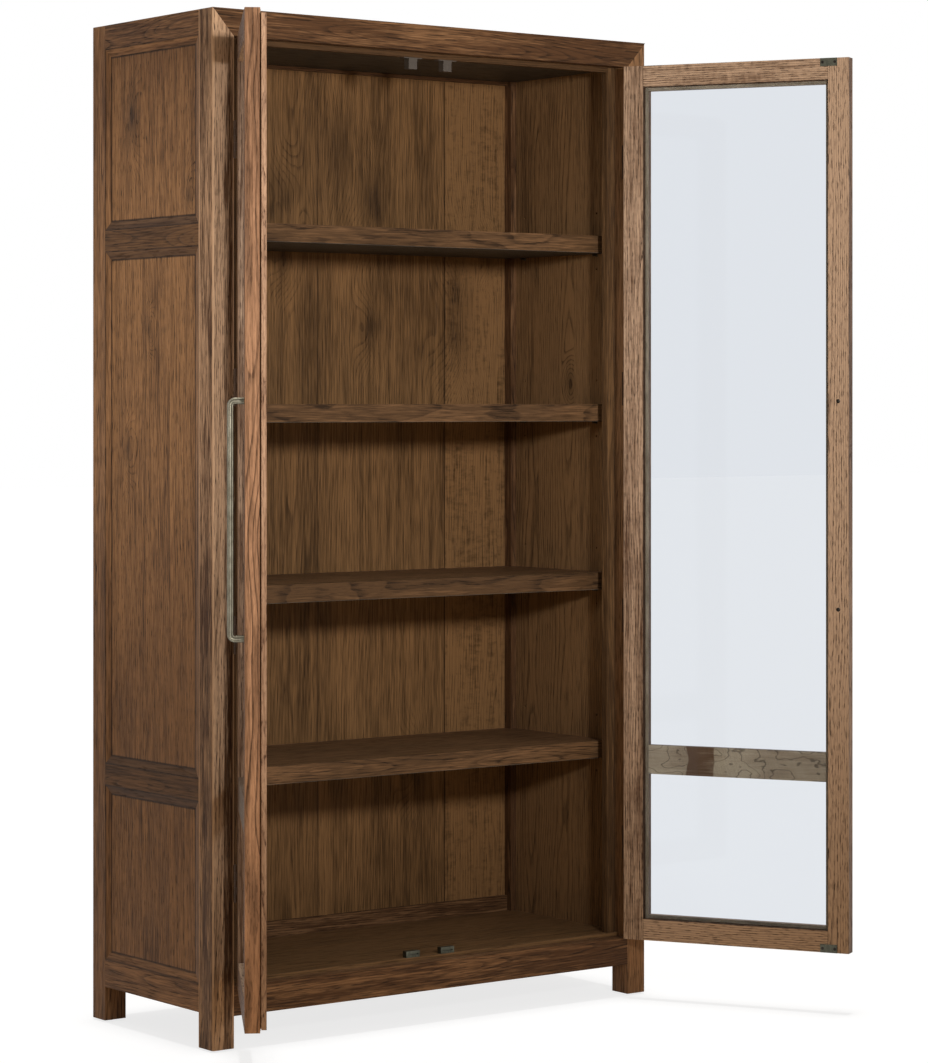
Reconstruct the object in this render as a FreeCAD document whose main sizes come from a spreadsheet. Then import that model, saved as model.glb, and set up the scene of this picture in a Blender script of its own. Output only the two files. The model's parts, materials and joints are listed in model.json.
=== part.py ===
"""Tall bookcase with two glass doors, as a parametric FreeCAD document.

Frame: millimetres, +Z up, origin on the floor under the middle of the front plane, the
plane of the front posts' faces. The front faces -Y, and the cabinet's left side is at -X.
Depths are counted back from the front plane, insets from the outer face of a side, and
the doors are drawn closed and then turned about their hinge axis.
"""
import FreeCAD, Part
import math
import os
import re
import Sketcher

doc = FreeCAD.newDocument("GlassDoorBookcase")
Vector = FreeCAD.Vector
Placement = FreeCAD.Placement
Rotation = FreeCAD.Rotation

# ---------------------------------------------------------------------------
# Driving dimensions: alias, millimetres (or degrees, or a count), meaning
# ---------------------------------------------------------------------------
DIMENSIONS = [
    ("cabinet_width", 1164, "overall width across the corner posts"),
    ("cabinet_depth", 485, "overall depth of the posts, doors not counted"),
    ("cabinet_height", 2159, "overall height with the foot glides"),
    ("post_width", 52, "corner post, along X"),
    ("post_depth", 54, "corner post, along Y"),
    ("post_round", 5, "rounding of a post's outer upright edge"),
    ("wood_ease", 1.2, "small chamfer that breaks the edge of a board"),
    ("glide_height", 4, "foot glide between the post and the floor"),
    ("glide_radius", 10, "foot glide disc"),
    ("glide_nail_radius", 1.4, "nail of a foot glide"),
    ("glide_nail_length", 16, "nail of a foot glide, above its disc"),
    ("top_rail_height", 57, "front top rail, level with the top of the posts"),
    ("front_rail_depth", 33, "front top and bottom rails, along Y"),
    ("base_clear", 71, "floor to the underside of the front and rear bottom rails"),
    ("bottom_rail_height", 61.5, "front bottom rail"),
    ("rear_rail_depth", 40, "rear top and bottom rails, along Y"),
    ("rear_top_rail_height", 65, "rear top rail"),
    ("rear_bottom_rail_height", 104, "rear bottom rail"),
    ("side_rail_depth", 22, "side top and bottom rails, along X"),
    ("side_top_rail_height", 51, "side top rail"),
    ("side_base_clear", 77, "floor to the underside of the side bottom rails"),
    ("side_bottom_rail_height", 58.5, "side bottom rail"),
    ("side_panel_recess", 5, "side panel behind the outer face of its frame"),
    ("mid_rail_height", 44, "flat face of an applied side mid rail"),
    ("upper_mid_rail_level", 1692, "middle of the upper side mid rail above the floor"),
    ("lower_mid_rail_level", 538, "middle of the lower side mid rail above the floor"),
    ("moulding_width", 20, "sloped moulding around a side panel field"),
    ("moulding_lip", 1, "flat lip left at the moulding's outer edge"),
    ("lining_thickness", 14, "inner side lining that holds the shelf pins"),
    ("board_thickness", 39, "top board and floor board"),
    ("door_ledge", 7.5, "floor board above the front bottom rail, a stop for the doors"),
    ("back_thickness", 12, "back panel"),
    ("back_inset", 18, "back panel behind the rear face of the posts"),
    ("shelf_thickness", 39, "shelf"),
    ("shelf_setback", 85, "front plane to the front edge of a shelf"),
    ("shelf_side_gap", 1, "shelf to the side lining and to the rear posts"),
    ("shelf_back_gap", 2, "shelf to the back panel"),
    ("first_shelf_level", 532, "underside of the lowest shelf above the floor"),
    ("shelf_pitch", 384, "shelf to shelf"),
    ("pin_radius", 2.5, "shelf pin and its hole in the lining"),
    ("pin_collar_radius", 4, "collar of a shelf pin, against the lining"),
    ("pin_collar_play", 0.2, "collar of a shelf pin to the end of the shelf"),
    ("pin_peg_length", 11, "peg of a shelf pin, under the shelf"),
    ("pin_depth", 9, "shelf pin inside the lining"),
    ("pin_hole_step", 32, "step of the shelf pin holes"),
    ("front_pin_depth", 130, "front plane to the front row of pin holes"),
    ("rear_pin_setback", 34, "rear row of pin holes in front of the rear posts"),
    ("stop_width", 30.5, "upright door stop, from the inner face of the post"),
    ("stop_nose_width", 21.2, "front bar of an upright door stop"),
    ("stop_web", 9, "web that joins the upright stop's front bar to the post"),
    ("stop_front", 36.5, "front plane to the front of the upright stops"),
    ("top_stop_height", 11.5, "strip under the top board that stops the doors"),
    ("top_stop_depth", 18, "strip under the top board, along Y"),
    ("door_thickness", 30, "door frame"),
    ("door_top_gap", 2.5, "door to the top rail"),
    ("door_bottom_gap", 2, "door to the bottom rail"),
    ("hinge_gap", 1.5, "door to the post"),
    ("centre_gap", 2, "between the two closed doors"),
    ("door_member_width", 56, "door stiles and rails, on the outside"),
    ("glass_rabbet_width", 8, "lip that the glass rests against"),
    ("glass_rabbet_depth", 13, "depth of the glass rabbet, from the inside of the door"),
    ("glass_thickness", 4, "door glass"),
    ("glass_play", 1, "glass to the side and top walls of its rabbet"),
    ("bar_height", 65, "cross bar in front of the glass"),
    ("bar_level", 540, "middle of the cross bar above the floor"),
    ("bar_setback", 1, "cross bar behind the outer face of the door"),
    ("astragal_thickness", 10, "strip behind the meeting stile of the left door"),
    ("astragal_standoff", 2, "shadow groove between the strip and the door"),
    ("astragal_width", 26, "strip behind the meeting stile"),
    ("astragal_overlap", 8, "strip past the meeting edge of the left door"),
    ("astragal_neck_setback", 6, "neck of the strip behind the meeting edge"),
    ("astragal_end_gap", 2, "strip to the floor board and to the top stop"),
    ("left_open_angle", 121.5, "left door as it stands open"),
    ("right_open_angle", 119.5, "right door as it stands open"),
    ("hinge_count", 4, "hinges on each door"),
    ("hinge_end", 211.5, "end of a door to the middle of its nearest hinge"),
    ("hinge_length", 76, "length of a hinge"),
    ("hinge_setout", 3.6, "hinge axis in front of the front plane"),
    ("knuckle_radius", 3.2, "hinge barrel"),
    ("knuckle_clearance", 0.3, "between knuckles, and from a leaf to the other's barrel"),
    ("hinge_pin_radius", 1.5, "hinge pin"),
    ("hinge_pin_clearance", 0.05, "hinge pin in its knuckles, on the radius"),
    ("hinge_pin_head", 1.6, "head of a hinge pin, above and below the barrel"),
    ("leaf_thickness", 1.8, "hinge leaf"),
    ("leaf_width", 20, "hinge leaf in its mortise"),
    ("screw_head_radius", 3.2, "countersunk screw head"),
    ("screw_head_depth", 1.7, "countersunk screw head"),
    ("screw_shank_radius", 1.6, "countersunk screw shank"),
    ("screw_length", 16, "countersunk screw, overall"),
    ("screw_hole_clearance", 0.1, "screw in a metal plate, on the radius"),
    ("pull_spacing", 457.2, "door pull, screw to screw"),
    ("pull_projection", 33, "door pull, from the door to its outer face"),
    ("pull_bar", 13, "door pull bar, across its projection"),
    ("pull_breadth", 14, "door pull bar, along the door"),
    ("pull_bend", 9, "door pull corner, at the middle of the bar"),
    ("pull_chamfer", 2, "bevelled edges of the door pull"),
    ("pull_channel_depth", 1, "channel along both sides of the door pull"),
    ("pull_channel_border", 3.5, "edge left beside the channel"),
    ("pull_edge_distance", 24, "door pull screws to the free edge of the door"),
    ("pull_level", 1117, "middle of the door pulls above the floor"),
    ("pull_screw_radius", 2, "door pull screw"),
    ("pull_screw_grip", 9, "door pull screw inside the pull"),
    ("pull_screw_head_radius", 4.5, "domed head of a door pull screw"),
    ("pull_screw_head_height", 2.2, "domed head of a door pull screw"),
    ("pull_screw_clearance", 0.3, "door pull screw in the stile, on the radius"),
    ("catch_offset", 46.5, "middle of a catch from the cabinet's middle"),
    ("catch_width", 22, "body of a top catch"),
    ("catch_depth", 18, "top catch, along Y"),
    ("catch_height", 23, "body of a top catch, under its flange"),
    ("catch_ridge", 2.6, "ridge on the front of a top catch, and groove between two"),
    ("catch_groove_depth", 1.4, "groove between the ridges of a top catch"),
    ("flange_width", 48, "flange of a top catch"),
    ("flange_thickness", 2, "flange of a top catch"),
    ("magnet_width", 36, "floor magnet"),
    ("magnet_depth", 13, "floor magnet"),
    ("magnet_height", 14, "floor magnet"),
    ("magnet_slot", 3, "slot between the pole plates, its height"),
    ("magnet_slot_depth", 3, "slot between the pole plates, its depth"),
    ("magnet_pole_margin", 4, "closed ends beside the slot of a floor magnet"),
    ("strike_width", 38, "strike plate"),
    ("strike_height", 18, "strike plate"),
    ("strike_thickness", 1.5, "strike plate"),
    ("strike_screw_spacing", 28, "screw to screw on a strike plate"),
]

SHELF_COUNT = 4
LEAF_SCREWS = 3
KNUCKLES = 5
CATCH_GROOVES = 3
PIN_HOLE_ROWS = (-1, 0, 3)

LEFT = -1
RIGHT = 1

sheet = doc.addObject("Spreadsheet::Sheet", "Dims")
for row, (alias, value, meaning) in enumerate(DIMENSIONS, start=1):
    sheet.set("A%d" % row, meaning)
    sheet.set("B%d" % row, str(value))
    sheet.setAlias("B%d" % row, alias)
doc.recompute()

ALIAS_PATTERN = re.compile(r"\b(%s)\b" % "|".join(alias for alias, _, _ in DIMENSIONS))


def size(alias):
    """Return a driving dimension as a number."""
    return float(sheet.get(alias))


def bind(target, prop, text):
    """Bind a property or constraint to an expression written with the aliases."""
    target.setExpression(prop, ALIAS_PATTERN.sub(r"Dims.\1", text))


# ---------------------------------------------------------------------------
# Levels and places that several pieces share, as expressions
# ---------------------------------------------------------------------------
TOP_RAIL_UNDERSIDE = "(cabinet_height-top_rail_height)"
BOTTOM_RAIL_TOP = "(base_clear+bottom_rail_height)"
FLOOR_LEVEL = "(base_clear+bottom_rail_height+door_ledge)"
WALL_INSET = "(side_rail_depth+lining_thickness)"
REAR_RAIL_FRONT = "(cabinet_depth-rear_rail_depth)"
REAR_POST_FRONT = "(cabinet_depth-post_depth)"
REAR_PIN_DEPTH = "(cabinet_depth-post_depth-rear_pin_setback)"
BACK_FRONT = "(cabinet_depth-back_inset-back_thickness)"
REAR_RAIL_TOP = "(base_clear+rear_bottom_rail_height)"
REAR_TOP_RAIL_UNDERSIDE = "(cabinet_height-rear_top_rail_height)"
SIDE_RAIL_TOP = "(side_base_clear+side_bottom_rail_height)"
SIDE_TOP_RAIL_UNDERSIDE = "(cabinet_height-side_top_rail_height)"
TOP_STOP_UNDERSIDE = "(cabinet_height-top_rail_height-top_stop_height)"
DOOR_BOTTOM = "(base_clear+bottom_rail_height+door_bottom_gap)"
DOOR_TOP = "(cabinet_height-top_rail_height-door_top_gap)"
DOOR_WIDTH = "((cabinet_width-2*post_width-2*hinge_gap-centre_gap)/2)"
LIP_DEPTH = "(door_thickness-glass_rabbet_depth)"
INNER_MEMBER = "(door_member_width-glass_rabbet_width)"


def across(side, inset):
    """X of a point that lies inset from the outer face of the given side."""
    return "%d*(cabinet_width/2-(%s))" % (side, inset)


def back(depth):
    """Y of a point that lies depth behind the front plane."""
    return "(%s)" % depth


def door_across(side, along):
    """Door-frame X of a point that lies along the closed door from its hinge edge."""
    return "%d*(hinge_gap/2+(%s))" % (-side, along)


def door_back(depth):
    """Door-frame Y of a point that lies depth behind the door's outer face."""
    return "hinge_setout+(%s)" % depth


def shelf_level(index):
    """Underside of a shelf above the floor."""
    return "(first_shelf_level+%d*shelf_pitch)" % index


def hinge_level(index):
    """Middle of a hinge above the floor; the hinges share the door's height evenly."""
    pitch = "(%s-%s-2*hinge_end)/(hinge_count-1)" % (DOOR_TOP, DOOR_BOTTOM)
    return "(%s+hinge_end+%d*%s)" % (DOOR_BOTTOM, index, pitch)


# ---------------------------------------------------------------------------
# Sketched pieces
# ---------------------------------------------------------------------------
def new_body(label):
    """Make a body for one sub-part."""
    body = doc.addObject("PartDesign::Body", label)
    body.Label = label
    return body


def new_sketch(body, role, level):
    """Attach a sketch to one of the body's origin planes, level along its normal."""
    sketch = body.newObject("Sketcher::SketchObject", body.Name + "_sketch")
    plane = next(item for item in body.Origin.OriginFeatures if item.Role == role)
    sketch.AttachmentSupport = [(plane, "")]
    sketch.MapMode = "FlatFace"
    bind(sketch, "AttachmentOffset.Base.z", level)
    return sketch


def fix_point(sketch, geometry, position, point):
    """Dimension one sketch point from the sketch's origin."""
    for kind, text in zip(("DistanceX", "DistanceY"), point):
        index = sketch.addConstraint(Sketcher.Constraint(kind, -1, 1, geometry, position, 1.0))
        bind(sketch, "Constraints[%d]" % index, text)


def add_outline(sketch, points):
    """Add a closed outline of straight lines through points given as expressions."""
    count = len(points)
    first = sketch.GeometryCount
    for index in range(count):
        turn = 2 * math.pi * index / count
        onward = 2 * math.pi * (index + 1) / count
        start = Vector(math.cos(turn), math.sin(turn), 0)
        end = Vector(math.cos(onward), math.sin(onward), 0)
        sketch.addGeometry(Part.LineSegment(start, end), False)
    for index in range(count):
        following = first + (index + 1) % count
        sketch.addConstraint(Sketcher.Constraint("Coincident", first + index, 2, following, 1))
        fix_point(sketch, first + index, 1, points[index])


def add_circle(sketch, centre, radius):
    """Add a circle given by expressions."""
    index = sketch.addGeometry(Part.Circle(Vector(0, 0, 0), Vector(0, 0, 1), 1), False)
    fix_point(sketch, index, 3, centre)
    constraint = sketch.addConstraint(Sketcher.Constraint("Radius", index, 1.0))
    bind(sketch, "Constraints[%d]" % constraint, radius)


def extrude(body, sketch, kind, length, reverse=False):
    """Pad or pocket a sketch by a length given as an expression."""
    feature = body.newObject("PartDesign::" + kind, body.Name + "_" + kind.lower())
    feature.Profile = sketch
    bind(feature, "Length", length)
    feature.Reversed = reverse
    sketch.Visibility = False
    return feature


def pad_up(body, outline, low, high):
    """Pad an outline in plan from the low level to the high level."""
    sketch = new_sketch(body, "XY_Plane", low)
    add_outline(sketch, outline)
    return extrude(body, sketch, "Pad", "(%s)-(%s)" % (high, low))


def pocket_up(body, outline, low, high):
    """Cut an outline in plan away from the low level to the high level."""
    sketch = new_sketch(body, "XY_Plane", low)
    add_outline(sketch, outline)
    return extrude(body, sketch, "Pocket", "(%s)-(%s)" % (high, low), reverse=True)


def pad_back(body, outline, near, far):
    """Pad an outline in front view (X, Z) from the near depth to the far depth."""
    sketch = new_sketch(body, "XZ_Plane", "-(%s)" % far)
    add_outline(sketch, outline)
    return extrude(body, sketch, "Pad", "(%s)-(%s)" % (far, near))


def rectangle(first, second):
    """Outline of a rectangle between two opposite corners."""
    return [first, (second[0], first[1]), second, (first[0], second[1])]


# ---------------------------------------------------------------------------
# Primitive pieces
# ---------------------------------------------------------------------------
def place(item, point):
    """Bind the base of an item's placement."""
    for axis, text in zip("xyz", point):
        bind(item, "Placement.Base." + axis, text)


def block(name, low, high):
    """Box between a low and a high corner given as expressions."""
    item = doc.addObject("Part::Box", name)
    for prop, start, end in zip(("Length", "Width", "Height"), low, high):
        bind(item, prop, "(%s)-(%s)" % (end, start))
    place(item, low)
    return item


def rod(name, base, radius, length, direction=Vector(0, 0, 1)):
    """Cylinder from a base point along a direction."""
    item = doc.addObject("Part::Cylinder", name)
    item.Placement = Placement(Vector(), Rotation(Vector(0, 0, 1), direction))
    bind(item, "Radius", radius)
    bind(item, "Height", length)
    place(item, base)
    return item


def cone(name, base, radii, length, direction):
    """Cone frustum from a base point along a direction."""
    item = doc.addObject("Part::Cone", name)
    item.Placement = Placement(Vector(), Rotation(Vector(0, 0, 1), direction))
    bind(item, "Radius1", radii[0])
    bind(item, "Radius2", radii[1])
    bind(item, "Height", length)
    place(item, base)
    return item


def fuse(name, items):
    """Join items into one solid."""
    item = doc.addObject("Part::MultiFuse", name)
    item.Shapes = items
    item.Refine = True
    return item


def cut(name, base, tools):
    """Cut the tools away from the base."""
    tool = tools[0]
    if len(tools) > 1:
        tool = doc.addObject("Part::Compound", name + "_tools")
        tool.Links = tools
    item = doc.addObject("Part::Cut", name)
    item.Base = base
    item.Tool = tool
    return item


def group(label, items):
    """Group of separate solids that share one node."""
    item = doc.addObject("Part::Compound", label)
    item.Label = label
    item.Links = items
    return item


def flip(side, low, high):
    """Order a low and a high inset so that they run along +X on either side."""
    ends = [across(side, low), across(side, high)]
    return ends if side == LEFT else ends[::-1]


def door_flip(side, low, high):
    """Order two distances along a door so that they run along +X on either door."""
    ends = [door_across(side, low), door_across(side, high)]
    return ends if side == LEFT else ends[::-1]


SIDE_NAMES = {LEFT: "left", RIGHT: "right"}
NODES = []


def keep(item):
    """Count a finished sub-part among the nodes."""
    NODES.append(item)
    return item


# ---------------------------------------------------------------------------
# Cabinet frame
# ---------------------------------------------------------------------------
def make_post(side, is_front):
    """Corner post with a rounded outer edge; front posts are mitred for the top rail."""
    name = "%s_%s_post" % ("front" if is_front else "rear", SIDE_NAMES[side])
    body = new_body(name)
    near = "0" if is_front else REAR_POST_FRONT
    far = "post_depth" if is_front else "cabinet_depth"
    outline = rectangle((across(side, "0"), back(near)), (across(side, "post_width"), back(far)))
    post = pad_up(body, outline, "glide_height", "cabinet_height")
    doc.recompute()
    outer_x = side * size("cabinet_width") / 2
    outer_y = 0 if is_front else size("cabinet_depth")
    for index, edge in enumerate(post.Shape.Edges, start=1):
        middle = edge.CenterOfMass
        if abs(middle.x - outer_x) < 0.01 and abs(middle.y - outer_y) < 0.01:
            rounding = body.newObject("PartDesign::Fillet", name + "_round")
            rounding.Base = (post, ["Edge%d" % index])
            bind(rounding, "Radius", "post_round")
    if is_front:
        sketch = new_sketch(body, "XZ_Plane", "-(%s)" % back("front_rail_depth"))
        add_outline(sketch, [
            (across(side, "0"), "cabinet_height"),
            (across(side, "post_width"), TOP_RAIL_UNDERSIDE),
            (across(side, "post_width"), "cabinet_height"),
        ])
        extrude(body, sketch, "Pocket", "front_rail_depth", reverse=True)
        for index in range(int(size("hinge_count"))):
            mortise = rectangle(
                (across(side, "post_width"), back("0")),
                (across(side, "post_width-leaf_thickness"), back("leaf_width")),
            )
            level = hinge_level(index)
            pocket_up(body, mortise, level + "-hinge_length/2", level + "+hinge_length/2")
    return keep(body)


def make_front_rails():
    """Mitred top rail and butted bottom rail between the front posts."""
    top = new_body("top_rail_front")
    pad_back(top, [
        (across(LEFT, "0"), "cabinet_height"),
        (across(RIGHT, "0"), "cabinet_height"),
        (across(RIGHT, "post_width"), TOP_RAIL_UNDERSIDE),
        (across(LEFT, "post_width"), TOP_RAIL_UNDERSIDE),
    ], back("0"), back("front_rail_depth"))
    bottom = new_body("bottom_rail_front")
    low = (across(LEFT, "post_width"), "base_clear")
    high = (across(RIGHT, "post_width"), BOTTOM_RAIL_TOP)
    pad_back(bottom, rectangle(low, high), back("0"), back("front_rail_depth"))
    return [keep(top), keep(bottom)]


def make_rear_frame():
    """Rear rails between the rear posts, and the back panel between them."""
    levels = {
        "top_rail_rear": (REAR_TOP_RAIL_UNDERSIDE, "cabinet_height"),
        "bottom_rail_rear": ("base_clear", REAR_RAIL_TOP),
    }
    for name, (low, high) in levels.items():
        rail = new_body(name)
        corners = (across(LEFT, "post_width"), low), (across(RIGHT, "post_width"), high)
        pad_back(rail, rectangle(*corners), back(REAR_RAIL_FRONT), back("cabinet_depth"))
        keep(rail)
    panel = new_body("back_panel")
    corners = (
        (across(LEFT, "post_width"), REAR_RAIL_TOP),
        (across(RIGHT, "post_width"), REAR_TOP_RAIL_UNDERSIDE),
    )
    pad_back(panel, rectangle(*corners), back(BACK_FRONT), back("cabinet_depth-back_inset"))
    return keep(panel)


def panel_fields():
    """Low and high levels of the three panel fields of a side."""
    half = "mid_rail_height/2"
    return [
        (SIDE_RAIL_TOP, "lower_mid_rail_level-" + half),
        ("lower_mid_rail_level+" + half, "upper_mid_rail_level-" + half),
        ("upper_mid_rail_level+" + half, SIDE_TOP_RAIL_UNDERSIDE),
    ]


def make_moulding(side, index, low, high):
    """Sloped moulding around one panel field: a frame whose inside tapers to the panel."""
    name = "%s_moulding_%d" % (SIDE_NAMES[side], index + 1)
    near, far = "post_depth", REAR_POST_FRONT
    x_low, x_high = flip(side, "0", "side_panel_recess")
    frame = block(name + "_frame", (x_low, back(near), low), (x_high, back(far), high))
    slope = doc.addObject("Part::Wedge", name + "_slope")
    turn = Rotation(Vector(0, 0, 1), 90 * side)
    slope.Placement = Placement(Vector(), turn)
    start, end = (near, far) if side == RIGHT else ("-(%s)" % far, "-(%s)" % near)
    bind(slope, "Ymin", "0")
    bind(slope, "Ymax", "side_panel_recess")
    for rim, inset in (("", "moulding_lip"), ("2", "moulding_width")):
        bind(slope, "X%smin" % rim, "(%s)+%s" % (start, inset))
        bind(slope, "X%smax" % rim, "(%s)-%s" % (end, inset))
        bind(slope, "Z%smin" % rim, "(%s)+%s" % (low, inset))
        bind(slope, "Z%smax" % rim, "(%s)-%s" % (high, inset))
    place(slope, (across(side, "0"), "0", "0"))
    return cut(name, frame, [slope])


def make_side(side):
    """Rails, panel, mouldings and pin-holed lining of one side of the cabinet."""
    name = SIDE_NAMES[side] + "_side"
    near, far = back("post_depth"), back(REAR_POST_FRONT)
    rails = {
        "bottom_rail": ("side_base_clear", SIDE_RAIL_TOP, "side_rail_depth"),
        "top_rail": (SIDE_TOP_RAIL_UNDERSIDE, "cabinet_height", "side_rail_depth"),
    }
    for part, level in (("lower", "lower_mid_rail_level"), ("upper", "upper_mid_rail_level")):
        low, high = level + "-mid_rail_height/2", level + "+mid_rail_height/2"
        rails[part + "_mid_rail"] = (low, high, "side_panel_recess")
    for part, (low, high, depth) in rails.items():
        rail = new_body("%s_%s" % (name, part))
        pad_up(rail, rectangle((across(side, "0"), near), (across(side, depth), far)), low, high)
        keep(rail)
    panel = new_body(name + "_panel")
    outline = rectangle((across(side, "side_panel_recess"), near), (across(side, "side_rail_depth"), far))
    pad_up(panel, outline, SIDE_RAIL_TOP, SIDE_TOP_RAIL_UNDERSIDE)
    keep(panel)
    frames = [make_moulding(side, index, *field) for index, field in enumerate(panel_fields())]
    keep(group(name + "_mouldings", frames))
    lining = new_body(name + "_lining")
    outline = rectangle((across(side, "side_rail_depth"), near), (across(side, WALL_INSET), far))
    pad_up(lining, outline, FLOOR_LEVEL, TOP_RAIL_UNDERSIDE)
    sketch = new_sketch(lining, "YZ_Plane", across(side, WALL_INSET))
    for index in range(SHELF_COUNT):
        for step in PIN_HOLE_ROWS:
            level = "%s-pin_radius+(%d)*pin_hole_step" % (shelf_level(index), step)
            for depth in ("front_pin_depth", REAR_PIN_DEPTH):
                add_circle(sketch, (back(depth), level), "pin_radius")
    extrude(lining, sketch, "Pocket", "pin_depth", reverse=(side == RIGHT))
    return keep(lining)


def board_outline():
    """Plan of the top and floor boards: they fill the frame and are notched at the posts."""
    depths = {"front": "front_rail_depth", "rear": REAR_RAIL_FRONT}
    points = []
    for side in (LEFT, RIGHT):
        inner, outer = across(side, "post_width"), across(side, "side_rail_depth")
        edge = [
            (inner, back(depths["front"])), (inner, back("post_depth")),
            (outer, back("post_depth")), (outer, back(REAR_POST_FRONT)),
            (inner, back(REAR_POST_FRONT)), (inner, back(depths["rear"])),
        ]
        points += edge if side == LEFT else edge[::-1]
    return points


def make_boards():
    """Top board and floor board."""
    top = new_body("top_board")
    pad_up(top, board_outline(), TOP_RAIL_UNDERSIDE, TOP_RAIL_UNDERSIDE + "+board_thickness")
    floor = new_body("floor_board")
    pad_up(floor, board_outline(), FLOOR_LEVEL + "-board_thickness", FLOOR_LEVEL)
    return [keep(top), keep(floor)]


def make_shelf(index):
    """Shelf that spans the linings and is notched round the rear posts."""
    shelf = new_body("shelf_%d" % (index + 1))
    points = []
    for side in (LEFT, RIGHT):
        outer = across(side, WALL_INSET + "+shelf_side_gap")
        inner = across(side, "post_width+shelf_side_gap")
        notch = back(REAR_POST_FRONT + "-shelf_side_gap")
        edge = [
            (outer, back("shelf_setback")), (outer, notch),
            (inner, notch), (inner, back(BACK_FRONT + "-shelf_back_gap")),
        ]
        points += edge if side == LEFT else edge[::-1]
    low = shelf_level(index)
    pad_up(shelf, points, low, low + "+shelf_thickness")
    return keep(shelf)


def make_shelf_pins():
    """Four pins under every shelf, each a peg with a collar between lining and shelf."""
    pins = []
    collar_thickness = "shelf_side_gap-pin_collar_play"
    for side in (LEFT, RIGHT):
        inward = Vector(-side, 0, 0)
        for index in range(SHELF_COUNT):
            level = shelf_level(index) + "-pin_radius"
            for row, depth in (("front", "front_pin_depth"), ("rear", REAR_PIN_DEPTH)):
                name = "%s_%s_pin_%d" % (SIDE_NAMES[side], row, index + 1)
                wall = (across(side, WALL_INSET), back(depth), level)
                end = (across(side, WALL_INSET + "-pin_depth"), back(depth), level)
                length = "pin_depth+%s+pin_peg_length" % collar_thickness
                peg = rod(name + "_peg", end, "pin_radius", length, inward)
                collar = rod(name + "_collar", wall, "pin_collar_radius", collar_thickness, inward)
                pins.append(fuse(name, [peg, collar]))
    return keep(group("shelf_pins", pins))


def make_door_stops():
    """Upright stops beside the posts and the strip under the top board."""
    for side in (LEFT, RIGHT):
        stop = new_body("%s_door_stop" % SIDE_NAMES[side])
        post = across(side, "post_width")
        nose_outer = across(side, "post_width+stop_width-stop_nose_width")
        nose_inner = across(side, "post_width+stop_width")
        outline = [
            (post, back("post_depth-stop_web")), (nose_outer, back("post_depth-stop_web")),
            (nose_outer, back("stop_front")), (nose_inner, back("stop_front")),
            (nose_inner, back("post_depth")), (post, back("post_depth")),
        ]
        pad_up(stop, outline, FLOOR_LEVEL, TOP_RAIL_UNDERSIDE)
        keep(stop)
    strip = new_body("top_door_stop")
    low = (across(LEFT, "post_width+stop_width"), back("front_rail_depth"))
    high = (across(RIGHT, "post_width+stop_width"), back("front_rail_depth+top_stop_depth"))
    pad_up(strip, rectangle(low, high), TOP_STOP_UNDERSIDE, TOP_RAIL_UNDERSIDE)
    return keep(strip)


def make_glides():
    """Nail-on glide under each post."""
    glides = []
    for side in (LEFT, RIGHT):
        for end, depth in (("front", "post_depth/2"), ("rear", "cabinet_depth-post_depth/2")):
            name = "%s_%s_glide" % (end, SIDE_NAMES[side])
            base = (across(side, "post_width/2"), back(depth), "0")
            disc = rod(name + "_disc", base, "glide_radius", "glide_height")
            nail = rod(name + "_nail", base, "glide_nail_radius", "glide_height+glide_nail_length")
            glides.append(fuse(name, [disc, nail]))
    return keep(group("foot_glides", glides))


# ---------------------------------------------------------------------------
# Doors, drawn closed in a frame whose Z axis is the hinge axis
# ---------------------------------------------------------------------------
def hang(item, side):
    """Stand a closed door's piece open about its hinge axis."""
    angle = "left_open_angle" if side == LEFT else "right_open_angle"
    item.Placement = Placement(Vector(), Rotation(Vector(0, 0, 1), side))
    bind(item, "Placement.Rotation.Angle", "%d*%s" % (side, angle))
    place(item, (across(side, "post_width+hinge_gap/2"), "-hinge_setout", "0"))
    return item


def stile_outline(side, hinge_end):
    """Plan of a stile: a wide front lip and a narrower part beside the glass rabbet."""
    def along(distance):
        return door_across(side, distance if hinge_end else "%s-(%s)" % (DOOR_WIDTH, distance))
    return [
        (along("wood_ease"), door_back("0")),
        (along("door_member_width-wood_ease"), door_back("0")),
        (along("door_member_width"), door_back("wood_ease")),
        (along("door_member_width"), door_back(LIP_DEPTH)),
        (along(INNER_MEMBER), door_back(LIP_DEPTH)),
        (along(INNER_MEMBER), door_back("door_thickness")),
        (along("wood_ease"), door_back("door_thickness")),
        (along("0"), door_back("door_thickness-wood_ease")),
        (along("0"), door_back("wood_ease")),
    ]


def make_stiles(side):
    """Hinge stile with its leaf mortises, and meeting stile with its pull screw holes."""
    name = SIDE_NAMES[side] + "_door"
    hinge_stile = new_body(name + "_hinge_stile")
    pad_up(hinge_stile, stile_outline(side, True), DOOR_BOTTOM, DOOR_TOP)
    for index in range(int(size("hinge_count"))):
        mortise = rectangle(
            (door_across(side, "0"), door_back("0")),
            (door_across(side, "leaf_thickness"), door_back("leaf_width")),
        )
        level = hinge_level(index)
        pocket_up(hinge_stile, mortise, level + "-hinge_length/2", level + "+hinge_length/2")
    meeting_stile = new_body(name + "_meeting_stile")
    pad_up(meeting_stile, stile_outline(side, False), DOOR_BOTTOM, DOOR_TOP)
    sketch = new_sketch(meeting_stile, "XZ_Plane", "-(%s)" % door_back("door_thickness"))
    for end in ("-", "+"):
        centre = (
            door_across(side, DOOR_WIDTH + "-pull_edge_distance"),
            "pull_level%spull_spacing/2" % end,
        )
        add_circle(sketch, centre, "pull_screw_radius+pull_screw_clearance")
    extrude(meeting_stile, sketch, "Pocket", "door_thickness", reverse=True)
    return [keep(hang(item, side)) for item in (hinge_stile, meeting_stile)]


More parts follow.
